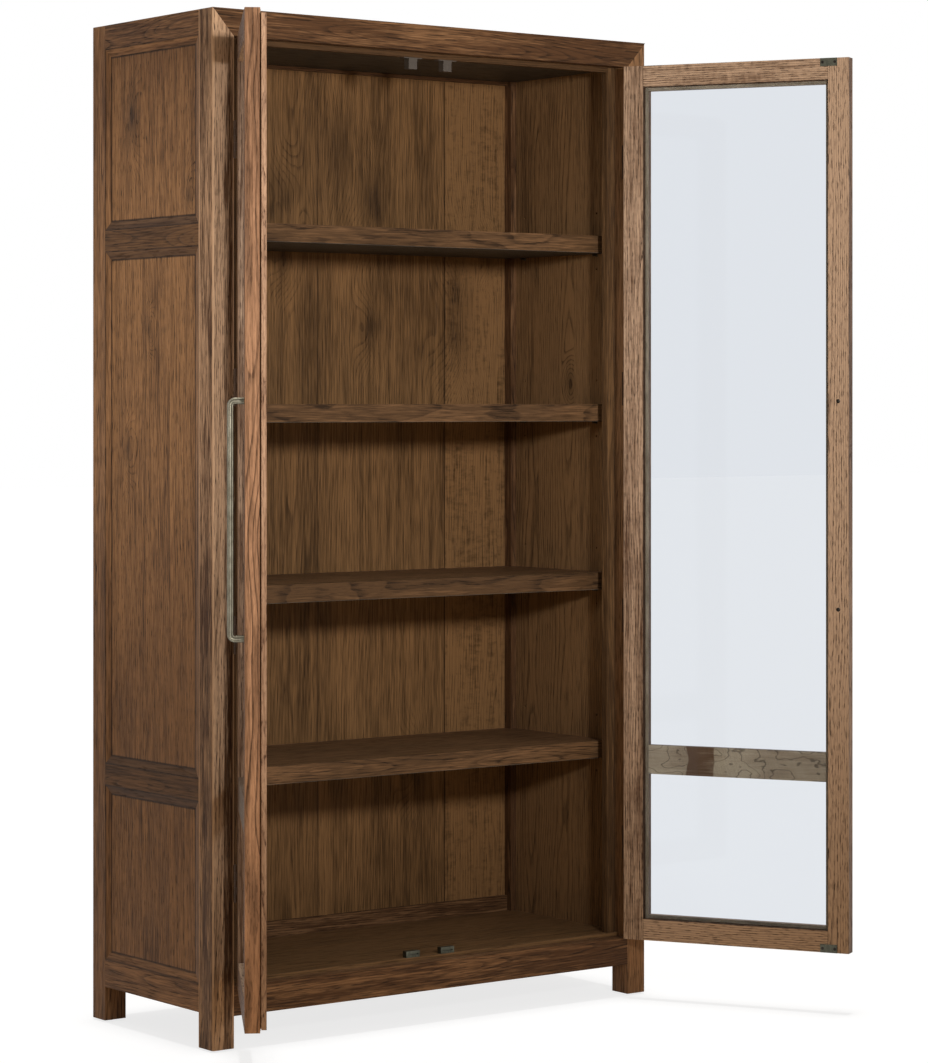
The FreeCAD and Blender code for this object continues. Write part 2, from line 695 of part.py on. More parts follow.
def make_door_rail(side, is_top):
    """Top or bottom rail: a back part as high as the stile is wide, and a front lip."""
    name = "%s_door_%s_rail" % (SIDE_NAMES[side], "top" if is_top else "bottom")
    rail = new_body(name)
    plan = [
        (door_across(side, "door_member_width"), door_back("0")),
        (door_across(side, DOOR_WIDTH + "-door_member_width"), door_back("0")),
        (door_across(side, DOOR_WIDTH + "-door_member_width"), door_back(LIP_DEPTH)),
        (door_across(side, "%s-%s" % (DOOR_WIDTH, INNER_MEMBER)), door_back(LIP_DEPTH)),
        (door_across(side, "%s-%s" % (DOOR_WIDTH, INNER_MEMBER)), door_back("door_thickness")),
        (door_across(side, INNER_MEMBER), door_back("door_thickness")),
        (door_across(side, INNER_MEMBER), door_back(LIP_DEPTH)),
        (door_across(side, "door_member_width"), door_back(LIP_DEPTH)),
    ]
    lip = rectangle(
        (door_across(side, "door_member_width"), door_back("0")),
        (door_across(side, DOOR_WIDTH + "-door_member_width"), door_back(LIP_DEPTH)),
    )
    if is_top:
        pad_up(rail, plan, "%s-%s" % (DOOR_TOP, INNER_MEMBER), DOOR_TOP)
        pad_up(rail, lip, DOOR_TOP + "-door_member_width", "%s-%s" % (DOOR_TOP, INNER_MEMBER))
    else:
        pad_up(rail, plan, DOOR_BOTTOM, "%s+%s" % (DOOR_BOTTOM, INNER_MEMBER))
        pad_up(rail, lip, "%s+%s" % (DOOR_BOTTOM, INNER_MEMBER), DOOR_BOTTOM + "+door_member_width")
    return keep(hang(rail, side))


def make_glazing(side):
    """Glass in its rabbet and the cross bar in front of it."""
    name = SIDE_NAMES[side] + "_door"
    glass = new_body(name + "_glass")
    outline = rectangle(
        (door_across(side, INNER_MEMBER + "+glass_play"), door_back(LIP_DEPTH)),
        (
            door_across(side, "%s-%s-glass_play" % (DOOR_WIDTH, INNER_MEMBER)),
            door_back(LIP_DEPTH + "+glass_thickness"),
        ),
    )
    high = "%s-%s-glass_play" % (DOOR_TOP, INNER_MEMBER)
    pad_up(glass, outline, "%s+%s" % (DOOR_BOTTOM, INNER_MEMBER), high)
    bar = new_body(name + "_cross_bar")
    outline = rectangle(
        (door_across(side, "door_member_width"), door_back("bar_setback")),
        (door_across(side, DOOR_WIDTH + "-door_member_width"), door_back(LIP_DEPTH)),
    )
    pad_up(bar, outline, "bar_level-bar_height/2", "bar_level+bar_height/2")
    return [keep(hang(item, side)) for item in (glass, bar)]


def make_astragal():
    """Strip behind the left door's meeting stile that covers the gap between the doors."""
    strip = new_body("astragal")
    edge = DOOR_WIDTH + "+astragal_overlap"
    outer = "door_thickness+astragal_standoff+astragal_thickness"
    outline = [
        (door_across(LEFT, edge + "-astragal_width"), door_back("door_thickness")),
        (door_across(LEFT, DOOR_WIDTH + "-astragal_neck_setback"), door_back("door_thickness")),
        (
            door_across(LEFT, DOOR_WIDTH + "-astragal_neck_setback"),
            door_back("door_thickness+astragal_standoff"),
        ),
        (door_across(LEFT, edge), door_back("door_thickness+astragal_standoff")),
        (door_across(LEFT, edge), door_back(outer + "-wood_ease")),
        (door_across(LEFT, edge + "-wood_ease"), door_back(outer)),
        (door_across(LEFT, edge + "-astragal_width+wood_ease"), door_back(outer)),
        (door_across(LEFT, edge + "-astragal_width"), door_back(outer + "-wood_ease")),
    ]
    low, high = FLOOR_LEVEL + "+astragal_end_gap", TOP_STOP_UNDERSIDE + "-astragal_end_gap"
    pad_up(strip, outline, low, high)
    return keep(hang(strip, LEFT))


# ---------------------------------------------------------------------------
# Door pulls
# ---------------------------------------------------------------------------
def pull_section(sketch, centre):
    """Section of the pull: a bar with bevelled edges and a channel along both sides."""
    half_breadth, half_bar = "pull_breadth/2", "pull_bar/2"
    quarter = [
        (half_breadth, half_bar + "-pull_chamfer"),
        (half_breadth + "-pull_chamfer", half_bar),
    ]
    groove = [
        (half_breadth + "-pull_channel_depth", half_bar + "-pull_channel_border"),
        (half_breadth, half_bar + "-pull_channel_border"),
    ]
    points = []
    for sign_x, sign_z in ((1, 1), (-1, 1), (-1, -1), (1, -1)):
        corner = groove + quarter
        if sign_x * sign_z < 0:
            corner = corner[::-1]
        points += [
            ("%s+%d*(%s)" % (centre[0], sign_x, x), "%s+%d*(%s)" % (centre[1], sign_z, z))
            for x, z in corner
        ]
    add_outline(sketch, points)


def pull_path(sketch):
    """Centre line of the pull in side view (Y, Z): a leg out, the bar, and a leg back."""
    face = door_back("0")
    reach = "pull_projection-pull_bar/2"
    bend = size("pull_bend")
    bar = sketch.addGeometry(Part.LineSegment(Vector(-1, 0, 0), Vector(-1, 1, 0)), False)
    corners = []
    for bar_end, inward, start_angle in ((1, 1, math.pi), (2, -1, math.pi / 2)):
        level = "pull_level-(%d)*pull_spacing/2" % inward
        leg = sketch.addGeometry(Part.LineSegment(Vector(0, 0, 0), Vector(-1, 0, 0)), False)
        fix_point(sketch, leg, 1, (face, level))
        fix_point(sketch, leg, 2, ("%s-(%s-pull_bend)" % (face, reach), level))
        fix_point(sketch, bar, bar_end, ("%s-(%s)" % (face, reach), "%s+(%d)*pull_bend" % (level, inward)))
        corners.append((leg, bar_end, inward, start_angle))
    doc.recompute()
    for leg, bar_end, inward, start_angle in corners:
        centre = sketch.getPoint(leg, 2) + Vector(0, inward * bend, 0)
        circle = Part.Circle(centre, Vector(0, 0, 1), bend)
        turn = Part.ArcOfCircle(circle, start_angle, start_angle + math.pi / 2)
        arc = sketch.addGeometry(turn, False)
        at_bar, at_leg = (1, 2) if inward > 0 else (2, 1)
        sketch.addConstraint(Sketcher.Constraint("Coincident", arc, at_bar, bar, bar_end))
        sketch.addConstraint(Sketcher.Constraint("Coincident", arc, at_leg, leg, 2))
        index = sketch.addConstraint(Sketcher.Constraint("Radius", arc, bend))
        bind(sketch, "Constraints[%d]" % index, "pull_bend")


def make_pull(side):
    """Long bar pull swept along its centre line."""
    name = SIDE_NAMES[side] + "_door_pull"
    pull = new_body(name)
    along = door_across(side, DOOR_WIDTH + "-pull_edge_distance")
    path = new_sketch(pull, "YZ_Plane", along)
    pull_path(path)
    section = new_sketch(pull, "XZ_Plane", "-(%s)" % door_back("0"))
    pull_section(section, (along, "pull_level-pull_spacing/2"))
    sweep = pull.newObject("PartDesign::AdditivePipe", name + "_sweep")
    sweep.Profile = section
    sweep.Spine = path
    path.Visibility = False
    section.Visibility = False
    return keep(hang(pull, side))


# ---------------------------------------------------------------------------
# Screws, hinges, catches and strikes
# ---------------------------------------------------------------------------
def screw(name, head, direction):
    """Countersunk screw whose flat head lies at the given point, pointing along direction."""
    radii = ("screw_head_radius", "screw_shank_radius")
    top = cone(name + "_head", head, radii, "screw_head_depth", direction)
    shank = rod(name + "_shank", head, "screw_shank_radius", "screw_length", direction)
    return fuse(name, [top, shank])


def screw_hole(name, head, direction, depth):
    """Countersunk clearance hole for such a screw in a metal plate."""
    clearance = "+screw_hole_clearance"
    radii = ("screw_head_radius" + clearance, "screw_shank_radius" + clearance)
    top = cone(name + "_sink", head, radii, "screw_head_depth", direction)
    bore = rod(name + "_bore", head, radii[1], depth, direction)
    return [top, bore]


def knuckle_run(index):
    """Low and high ends of a knuckle, measured from the middle of its hinge."""
    step = "hinge_length/%d" % KNUCKLES
    low = "-hinge_length/2+%d*%s" % (index, step)
    high = "-hinge_length/2+%d*%s" % (index + 1, step)
    if index > 0:
        low += "+knuckle_clearance/2"
    if index < KNUCKLES - 1:
        high += "-knuckle_clearance/2"
    return low, high


def leaf_screw_level(index):
    """Level of a leaf screw from the middle of its hinge."""
    return "(%d-(%d-1)/2)*hinge_length/%d" % (index, LEAF_SCREWS, LEAF_SCREWS)


def make_leaf(name, toward, level, on_door):
    """Hinge leaf with its knuckles, pin bore and screw holes.

    toward is the X direction from the hinge axis into the wood that carries the leaf.
    """
    thick = ("hinge_gap/2", "hinge_gap/2+leaf_thickness")
    x_low, x_high = thick if toward > 0 else tuple("-(%s)" % text for text in thick[::-1])
    free = "knuckle_radius+knuckle_clearance"
    plate = block(
        name + "_plate",
        (x_low, free, level + "-hinge_length/2"),
        (x_high, "hinge_setout+leaf_width", level + "+hinge_length/2"),
    )
    pieces = [plate]
    for index in range(1 if on_door else 0, KNUCKLES, 2):
        low, high = knuckle_run(index)
        knuckle = "%s_knuckle_%d" % (name, index + 1)
        base = ("0", "0", level + low)
        pieces.append(rod(knuckle, base, "knuckle_radius", "(%s)-(%s)" % (high, low)))
        pieces.append(block(knuckle + "_root", (x_low, "0", level + low), (x_high, free, level + high)))
    bore = rod(
        name + "_bore",
        ("0", "0", level + "-hinge_length/2"),
        "hinge_pin_radius+hinge_pin_clearance",
        "hinge_length",
    )
    tools = [bore]
    face = x_low if toward > 0 else x_high
    for index in range(LEAF_SCREWS):
        head = (face, "hinge_setout+leaf_width/2", "%s+%s" % (level, leaf_screw_level(index)))
        hole = "%s_hole_%d" % (name, index + 1)
        tools += screw_hole(hole, head, Vector(toward, 0, 0), "leaf_thickness")
    return cut(name, fuse(name + "_solid", pieces), tools)


def make_hinge_pin(name, level):
    """Hinge pin with a flat head at both ends of the barrel."""
    base = ("0", "0", level + "-hinge_length/2-hinge_pin_head")
    shaft = rod(name + "_shaft", base, "hinge_pin_radius", "hinge_length+2*hinge_pin_head")
    head_radius = "(hinge_pin_radius+knuckle_radius)/2"
    low = rod(name + "_low_head", base, head_radius, "hinge_pin_head")
    top_base = ("0", "0", level + "+hinge_length/2")
    top = rod(name + "_top_head", top_base, head_radius, "hinge_pin_head")
    return fuse(name, [shaft, low, top])


def make_hinges(side):
    """All hinges of one door: door leaves, and cabinet leaves with their pins."""
    name = SIDE_NAMES[side]
    levels = [hinge_level(index) for index in range(int(size("hinge_count")))]
    fixed, moving = [], []
    for number, level in enumerate(levels, start=1):
        fixed.append(make_leaf("%s_cabinet_leaf_%d" % (name, number), side, level, False))
        fixed.append(make_hinge_pin("%s_hinge_pin_%d" % (name, number), level))
        moving.append(make_leaf("%s_door_leaf_%d" % (name, number), -side, level, True))
    frame_leaves = group(name + "_hinge_cabinet_leaves", fixed)
    place(frame_leaves, (across(side, "post_width+hinge_gap/2"), "-hinge_setout", "0"))
    keep(frame_leaves)
    return keep(hang(group(name + "_hinge_door_leaves", moving), side))


STRIKE_MIDDLE = DOOR_WIDTH + "+centre_gap/2-catch_offset"


def strike_screw_head(side, end, low):
    """Middle of a strike screw's head, on the inner face of the plate."""
    return (
        door_across(side, "%s+%d*strike_screw_spacing/2" % (STRIKE_MIDDLE, end)),
        door_back("door_thickness+strike_thickness"),
        low + "+strike_height/2",
    )


def strike_levels():
    """Low level of the bottom and of the top strike plate."""
    return {"bottom": DOOR_BOTTOM, "top": DOOR_TOP + "-strike_height"}


def make_strikes(side):
    """Steel strike plates at the bottom and top of a door's inner face."""
    plates = []
    for end, low in strike_levels().items():
        name = "%s_%s_strike" % (SIDE_NAMES[side], end)
        half = "strike_width/2"
        x_low, x_high = door_flip(side, STRIKE_MIDDLE + "-" + half, STRIKE_MIDDLE + "+" + half)
        plate = block(
            name + "_plate",
            (x_low, door_back("door_thickness"), low),
            (x_high, door_back("door_thickness+strike_thickness"), low + "+strike_height"),
        )
        tools = []
        for index, screw_end in enumerate((-1, 1), start=1):
            head = strike_screw_head(side, screw_end, low)
            tools += screw_hole("%s_hole_%d" % (name, index), head, Vector(0, -1, 0), "strike_thickness")
        plates.append(cut(name, plate, tools))
    return keep(hang(group(SIDE_NAMES[side] + "_door_strikes", plates), side))


def make_door_screws(side):
    """Screws of a door: hinge leaves, strike plates and pull."""
    name = SIDE_NAMES[side] + "_door"
    screws = []
    for hinge in range(int(size("hinge_count"))):
        for index in range(LEAF_SCREWS):
            level = "%s+%s" % (hinge_level(hinge), leaf_screw_level(index))
            head = (door_across(side, "0"), door_back("leaf_width/2"), level)
            label = "%s_hinge_screw_%d_%d" % (name, hinge + 1, index + 1)
            screws.append(screw(label, head, Vector(-side, 0, 0)))
    for end, low in strike_levels().items():
        for index, screw_end in enumerate((-1, 1), start=1):
            head = strike_screw_head(side, screw_end, low)
            screws.append(screw("%s_%s_strike_screw_%d" % (name, end, index), head, Vector(0, -1, 0)))
    for index, end in enumerate(("-", "+"), start=1):
        label = "%s_pull_screw_%d" % (name, index)
        base = (
            door_across(side, DOOR_WIDTH + "-pull_edge_distance"),
            door_back("-pull_screw_grip"),
            "pull_level%spull_spacing/2" % end,
        )
        seat = (base[0], door_back("door_thickness"), base[2])
        length = "door_thickness+pull_screw_grip"
        shank = rod(label + "_shank", base, "pull_screw_radius", length, Vector(0, 1, 0))
        radii = ("pull_screw_head_radius", "pull_screw_head_radius-pull_screw_head_height/2")
        head = cone(label + "_head", seat, radii, "pull_screw_head_height", Vector(0, 1, 0))
        screws.append(fuse(label, [shank, head]))
    return keep(hang(group(name + "_screws", screws), side))


def make_cabinet_screws():
    """Screws in the cabinet: hinge leaves and top catch flanges."""
    screws = []
    for side in (LEFT, RIGHT):
        name = SIDE_NAMES[side]
        for hinge in range(int(size("hinge_count"))):
            for index in range(LEAF_SCREWS):
                level = "%s+%s" % (hinge_level(hinge), leaf_screw_level(index))
                head = (across(side, "post_width"), back("leaf_width/2"), level)
                label = "%s_post_screw_%d_%d" % (name, hinge + 1, index + 1)
                screws.append(screw(label, head, Vector(side, 0, 0)))
        for index, end in enumerate((-1, 1), start=1):
            head = catch_screw_head(side, end)
            screws.append(screw("%s_catch_screw_%d" % (name, index), head, Vector(0, 0, 1)))
    return keep(group("cabinet_screws", screws))


def catch_screw_head(side, end):
    """Middle of a flange screw's head, half way along the bare end of the flange."""
    return (
        "%d*catch_offset+%d*(catch_width+flange_width)/4" % (side, end),
        back("front_rail_depth+catch_depth/2"),
        TOP_STOP_UNDERSIDE + "-flange_thickness",
    )


def make_top_catches():
    """Ridged catch body and flange on each side of the middle, under the top stop strip."""
    catches = []
    near, far = back("front_rail_depth"), back("front_rail_depth+catch_depth")
    flange_low = TOP_STOP_UNDERSIDE + "-flange_thickness"
    low = flange_low + "-catch_height"
    for side in (LEFT, RIGHT):
        middle = "%d*catch_offset" % side
        body = new_body("%s_top_catch" % SIDE_NAMES[side])
        tiers = (("catch_width/2", low, flange_low), ("flange_width/2", flange_low, TOP_STOP_UNDERSIDE))
        for half, bottom, top in tiers:
            pad_up(body, rectangle((middle + "-" + half, near), (middle + "+" + half, far)), bottom, top)
        groove = rectangle(
            (middle + "-catch_width/2", near),
            (middle + "+catch_width/2", back("front_rail_depth+catch_groove_depth")),
        )
        for index in range(CATCH_GROOVES):
            bottom = "%s+%d*catch_ridge" % (low, 2 * index + 1)
            pocket_up(body, groove, bottom, bottom + "+catch_ridge")
        tools = []
        for index, end in enumerate((-1, 1), start=1):
            name = "%s_hole_%d" % (body.Name, index)
            tools += screw_hole(name, catch_screw_head(side, end), Vector(0, 0, 1), "flange_thickness")
        catches.append(cut(body.Name + "_drilled", body, tools))
    return keep(group("top_catches", catches))


def make_floor_magnets():
    """Magnet block with a slot between its pole plates, on the floor behind each door."""
    magnets = []
    for side in (LEFT, RIGHT):
        name = "%s_floor_magnet" % SIDE_NAMES[side]
        middle = "%d*catch_offset" % side
        half = "magnet_width/2"
        near = back("front_rail_depth")
        shell = block(
            name + "_block",
            (middle + "-" + half, near, FLOOR_LEVEL),
            (middle + "+" + half, back("front_rail_depth+magnet_depth"), FLOOR_LEVEL + "+magnet_height"),
        )
        slot = block(
            name + "_slot",
            (
                "%s-%s+magnet_pole_margin" % (middle, half), near,
                FLOOR_LEVEL + "+(magnet_height-magnet_slot)/2",
            ),
            (
                "%s+%s-magnet_pole_margin" % (middle, half),
                back("front_rail_depth+magnet_slot_depth"),
                FLOOR_LEVEL + "+(magnet_height+magnet_slot)/2",
            ),
        )
        magnets.append(cut(name, shell, [slot]))
    return keep(group("floor_magnets", magnets))


# ---------------------------------------------------------------------------
# Assembly
# ---------------------------------------------------------------------------
def build():
    """Make every sub-part."""
    for side in (LEFT, RIGHT):
        make_post(side, True)
        make_post(side, False)
    make_front_rails()
    make_rear_frame()
    for side in (LEFT, RIGHT):
        make_side(side)
    make_boards()
    for index in range(SHELF_COUNT):
        make_shelf(index)
    make_shelf_pins()
    make_door_stops()
    make_glides()
    make_top_catches()
    make_floor_magnets()
    for side in (LEFT, RIGHT):
        make_stiles(side)
        make_door_rail(side, True)
        make_door_rail(side, False)
        make_glazing(side)
        make_pull(side)
        make_hinges(side)
        make_strikes(side)
        make_door_screws(side)
    make_astragal()
    make_cabinet_screws()


def check():
    """Stop if any object failed or any sub-part has no valid shape."""
    faults = [item.Name for item in doc.Objects if "Invalid" in item.State or "Error" in item.State]
    for item in NODES:
        if item.Shape.isNull() or not item.Shape.isValid() or not item.Shape.Solids:
            faults.append(item.Label)
    if faults:
        raise RuntimeError("failed: " + ", ".join(faults))


def export():
    """Write each sub-part to its own STEP file."""
    os.makedirs("parts", exist_ok=True)
    for item in NODES:
        item.Shape.exportStep(os.path.join("parts", item.Label + ".step"))


build()
doc.recompute()
check()
export()
print("%d nodes written" % len(NODES))
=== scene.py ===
"""Finishes, fittings and studio of a tall oak bookcase with a pair of glass doors."""

import json
import logging
import math
import random
from dataclasses import dataclass
from enum import Enum
from itertools import product
from typing import Any, Iterable, Optional, Union

import bmesh
import bpy
import numpy as np
from bpy.types import ID, Material, Mesh, NodeSocket, NodeTree, Object
from mathutils import Matrix, Vector


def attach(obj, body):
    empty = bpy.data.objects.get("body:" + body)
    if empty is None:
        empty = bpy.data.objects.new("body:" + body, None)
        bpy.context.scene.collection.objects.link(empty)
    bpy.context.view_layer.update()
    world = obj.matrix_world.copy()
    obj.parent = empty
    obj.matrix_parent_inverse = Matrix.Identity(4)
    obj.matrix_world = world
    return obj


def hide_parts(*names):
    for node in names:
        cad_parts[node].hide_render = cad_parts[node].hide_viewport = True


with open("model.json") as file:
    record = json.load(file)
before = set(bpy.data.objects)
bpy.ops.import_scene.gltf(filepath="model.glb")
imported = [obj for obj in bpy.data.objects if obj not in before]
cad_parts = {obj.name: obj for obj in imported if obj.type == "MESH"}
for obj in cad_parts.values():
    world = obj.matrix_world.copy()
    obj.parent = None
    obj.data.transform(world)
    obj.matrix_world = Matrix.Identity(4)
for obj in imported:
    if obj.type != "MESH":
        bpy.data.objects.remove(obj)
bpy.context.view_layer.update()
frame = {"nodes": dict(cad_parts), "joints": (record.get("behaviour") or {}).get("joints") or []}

LOG = logging.getLogger("bookcase")
SIDES = ("left", "right")

Colour = tuple[float, float, float]
Point = tuple[float, float, float]
Number = Union["Shade", float, int]


class Grain(Enum):
    """Direction in which the fibres of a board run, in the cabinet's own axes."""

    ALONG_X = (1, 2, 0)
    ALONG_Y = (2, 0, 1)
    ALONG_Z = (0, 1, 2)


class Cut(Enum):
    """How a board was sawn: which of its faces shows the arched figure."""

    FLAT = "arches on the wide face"
    RIFT = "arches on the edge, straight lines on the wide face"


class Head(Enum):
    """Shape of a screw's head."""

    COUNTERSUNK = "flat"
    DOMED = "domed"


def srgb(*levels: int) -> Colour:
    """Linear values, as shaders take them, of an 8-bit display colour."""
    shares = [level / 255 for level in levels]
    return tuple(s / 12.92 if s <= 0.04045 else ((s + 0.055) / 1.055) ** 2.4 for s in shares)


# --- Node trees ---
class Shade:
    """A socket of a node tree on which arithmetic can be written."""

    def __init__(self, tree: "Tree", socket: NodeSocket) -> None:
        """Wrap a socket of the given tree."""
        self.tree = tree
        self.socket = socket

    def math(self, operation: str, *others: Number, clamp: bool = False) -> "Shade":
        """Result of a Math node whose first input is this value."""
        values = dict(enumerate((self, *others)))
        return self.tree.add("ShaderNodeMath", values, operation=operation, use_clamp=clamp)

    def __add__(self, other: Number) -> "Shade":
        """Sum."""
        return self.math("ADD", other)

    __radd__ = __add__

    def __mul__(self, other: Number) -> "Shade":
        """Product."""
        return self.math("MULTIPLY", other)

    __rmul__ = __mul__

    def __sub__(self, other: Number) -> "Shade":
        """Difference."""
        return self.math("SUBTRACT", other)

    def __rsub__(self, other: Number) -> "Shade":
        """Difference with this value taken away."""
        return (self * -1.0) + other

    def __truediv__(self, other: Number) -> "Shade":
        """Quotient."""
        return self.math("DIVIDE", other)

    def __abs__(self) -> "Shade":
        """Value without its sign."""
        return self.math("ABSOLUTE")

    def held(self) -> "Shade":
        """This value held between 0 and 1."""
        return self.math("ADD", 0.0, clamp=True)

    def step(self, low: float, high: float, start: float = 0.0, end: float = 1.0) -> "Shade":
        """Smooth change from start to end while this value goes from low to high."""
        inputs = {"Value": self, "From Min": low, "From Max": high, "To Min": start, "To Max": end}
        return self.tree.add("ShaderNodeMapRange", inputs, interpolation_type="SMOOTHSTEP")

    def between(self, start: float, end: float, soft: float) -> "Shade":
        """1 from start to end and 0 beyond, with edges that reach this far to either side."""
        return self.step(start - soft, start + soft) * self.step(end - soft, end + soft, 1, 0)


class Tree:
    """Adds nodes to one node tree."""

    def __init__(self, nodes: NodeTree) -> None:
        """Start on an existing tree."""
        self.nodes = nodes

    def add(
        self, kind: str, values: Optional[dict[Any, Any]] = None, output: Any = 0, **settings: Any
    ) -> Shade:
        """Add a node, set it up and feed it.

        Args:
            kind: The node's type.
            values: A value, a link or a list of links for each named or numbered input.
            output: Name or number of the output to return.
            settings: The node's properties, which are set first.

        Returns:
            The chosen output, or the first input of a node without outputs.
        """
        node = self.nodes.nodes.new(kind)
        for name, value in settings.items():
            setattr(node, name, value)
        for key, value in (values or {}).items():
            for item in value if isinstance(value, list) else [value]:
                if isinstance(item, Shade):
                    self.nodes.links.new(item.socket, node.inputs[key])
                else:
                    node.inputs[key].default_value = item
        return Shade(self, node.outputs[output] if len(node.outputs) else node.inputs[0])

    def join(self, parts: Iterable[Number]) -> Shade:
        """A vector from three parts."""
        return self.add("ShaderNodeCombineXYZ", dict(enumerate(parts)))


@dataclass(frozen=True)
class Pattern:
    """A noise: waves per metre across and along the fibres, and its finer octaves."""

    across: float
    along: float
    detail: float = 2.0


class Surface(Tree):
    """A material's shader tree, with the patterns that the finishes share."""

    def __init__(self, name: str) -> None:
        """Make an empty material.

        Args:
            name: The material's name.
        """
        self.material = bpy.data.materials.new(name)
        self.material.use_nodes = True
        super().__init__(self.material.node_tree)
        self.nodes.nodes.clear()

    def place(self) -> Shade:
        """Position in the object's own axes."""
        return self.add("ShaderNodeTexCoord", output="Object")

    def split(self, vector: Shade) -> list[Shade]:
        """The three parts of a vector."""
        outputs = self.add("ShaderNodeSeparateXYZ", {0: vector}).socket.node.outputs
        return [Shade(self, socket) for socket in outputs]

    def noise(self, point: Shade, pattern: Pattern, shift: Point) -> Shade:
        """Add a noise around zero.

        Args:
            point: Where it is read, with the fibres along the third axis.
            pattern: Its waves.
            shift: Its offset, in waves.

        Returns:
            A value between about -0.5 and 0.5.
        """
        waves = {0: point, 1: (pattern.across, pattern.across, pattern.along), 2: shift}
        placed = self.add("ShaderNodeVectorMath", waves, operation="MULTIPLY_ADD")
        inputs = {"Vector": placed, "Scale": 1.0, "Detail": pattern.detail, "Roughness": 0.55}
        return self.add("ShaderNodeTexNoise", inputs) - 0.5

    def blend(self, share: Number, first: Any, second: Any) -> Shade:
        """Mix of two colours or links to colours, with this share of the second."""
        pair = [c if isinstance(c, Shade) else (*c, 1.0) for c in (first, second)]
        return self.add("ShaderNodeMix", {0: share, 6: pair[0], 7: pair[1]}, 2, data_type="RGBA")

    def finish(
        self, colour: Shade, rough: Shade, bump: tuple[Shade, float, float], **others: float
    ) -> Material:
        """Close the material with one Principled shader.

        Args:
            colour: Base colour.
            rough: Roughness.
            bump: Height pattern, its depth in metres and how much of it shows.
            others: Values of other inputs, with _ for each blank in their names.

        Returns:
            The material.
        """
        normal = self.add("ShaderNodeBump", dict(zip(("Height", "Distance", "Strength"), bump)))
        values = {"Base Color": colour, "Roughness": rough, "Normal": normal}
        values.update({name.replace("_", " "): value for name, value in others.items()})
        shader = self.add("ShaderNodeBsdfPrincipled", values)
        self.add("ShaderNodeOutputMaterial", {"Surface": shader})
        return self.material


# --- Doors and boards ---
@dataclass(frozen=True)
class Swing:
    """How a body has turned about its hinge from the closed cabinet."""

    angle: float = 0.0
    pivot: Point = (0.0, 0.0, 0.0)

    def closing(self) -> Matrix:
        """The motion that brings the body back to the closed cabinet."""
        pivot = Matrix.Translation(Vector(self.pivot))
        return pivot @ Matrix.Rotation(-self.angle, 4, "Z") @ pivot.inverted()

    @staticmethod
    def of_joint(name: str) -> "Swing":
        """Opening of a door, from its hinge, whose lower limit is the closed door."""
        joint = next(item for item in frame["joints"] if item["name"] == name)
        return Swing(-math.radians(joint["range_deg"][0]) * joint["axis"][2], joint["pos_m"])


@dataclass(frozen=True)
class Knot:
    """A knot: its place across and along a board from the middle, its radius and its length."""

    across: float
    along: float
    radius: float
    depth: float = 1.0
    stretch: float = 2.2


@dataclass(frozen=True)
class Zone:
    """A stretch along one cabinet axis that is paler or darker, or its overlap with another."""

    axis: int
    start: float
    end: float
    lift: float = 0.0
    ripple: float = 0.0
    soft: float = 0.0004
    part: Optional["Zone"] = None

    @staticmethod
    def skin(axis: int, face: float, way: int, depth: float = 0.001, **others: Any) -> "Zone":
        """Outermost skin of a board whose upper (way 1) or lower (-1) face lies at this place."""
        ends = sorted((face - way * depth, face + way * 0.01))
        return Zone(axis, *ends, **others)


@dataclass(frozen=True)
class Seam:
    """A plane across one cabinet axis at which the colour darkens, and how far it reaches: dark
    stain in joints, painted shade in the door rabbets.
    """

    axis: int
    place: float
    reach: float = 0.0034


RIM_VENEER = (srgb(172, 158, 136), srgb(122, 109, 90))
# Painted shade for the undersides of the top board and the shelves.
PAINTED_UNDERSIDE_SHADE = (srgb(86, 80, 72), srgb(52, 49, 44))


@dataclass(frozen=True)
class Board:
    """One piece of wood and the figure it shows."""

    node: str
    grain: Grain
    cut: Cut = Cut.FLAT
    swing: Swing = Swing()
    leaf: float = 0.0
    pith: float = 0.05
    lean: float = 0.04
    sway: float = 0.012
    ring: float = 1.0
    tone: float = 0.0
    figure: float = 1.0
    knots: tuple[Knot, ...] = ()
    zones: tuple[Zone, ...] = ()
    seams: tuple[Seam, ...] = ()
    # Zone and colours of a lip: a veneered lip on the doors, painted shade on undersides.
    lip: Optional[Zone] = None
    lip_colours: tuple[Colour, Colour] = RIM_VENEER

    def extent(self) -> tuple[list[float], list[float]]:
        """Measure the board in the closed cabinet.

        Returns:
            Its lowest and its highest corner.
        """
        mesh = frame["nodes"][self.node].data
        places = np.empty(len(mesh.vertices) * 3)
        mesh.vertices.foreach_get("co", places)
        motion = np.array(self.swing.closing())
        turned = places.reshape(-1, 3) @ motion[:3, :3].T + motion[:3, 3]
        return turned.min(0).tolist(), turned.max(0).tolist()


class Layout:
    """A board in a shader tree: its place in the closed cabinet and on its own axes."""

    def __init__(self, tree: Surface, board: Board) -> None:
        """Set up the board's own axes, two across its fibres and one along, in its middle.

        Args:
            tree: The shader tree.
            board: The board.
        """
        motion = board.swing.closing()
        turn = {"Location": motion.to_translation(), "Rotation": motion.to_euler()}
        inputs = {"Vector": tree.place(), **turn}
        self.placed = tree.split(tree.add("ShaderNodeMapping", inputs, vector_type="POINT"))
        low, high = board.extent()
        order = board.grain.value
        self.axes = [self.placed[axis] - (low[axis] + high[axis]) / 2 for axis in order]
        self.spans = [high[axis] - low[axis] for axis in order]

    def within(self, zone: Zone) -> Shade:
        """1 in the part of the board that lies in a zone, 0 outside it."""
        inside = self.placed[zone.axis].between(zone.start, zone.end, zone.soft)
        return inside * self.within(zone.part) if zone.part else inside


def paint(node: str, material: Material) -> None:
    """Give a node of the frame its finish.

    Args:
        node: The node's name.
        material: The finish.
    """
    mesh = frame["nodes"][node].data
    mesh.materials.clear()
    mesh.materials.append(material)


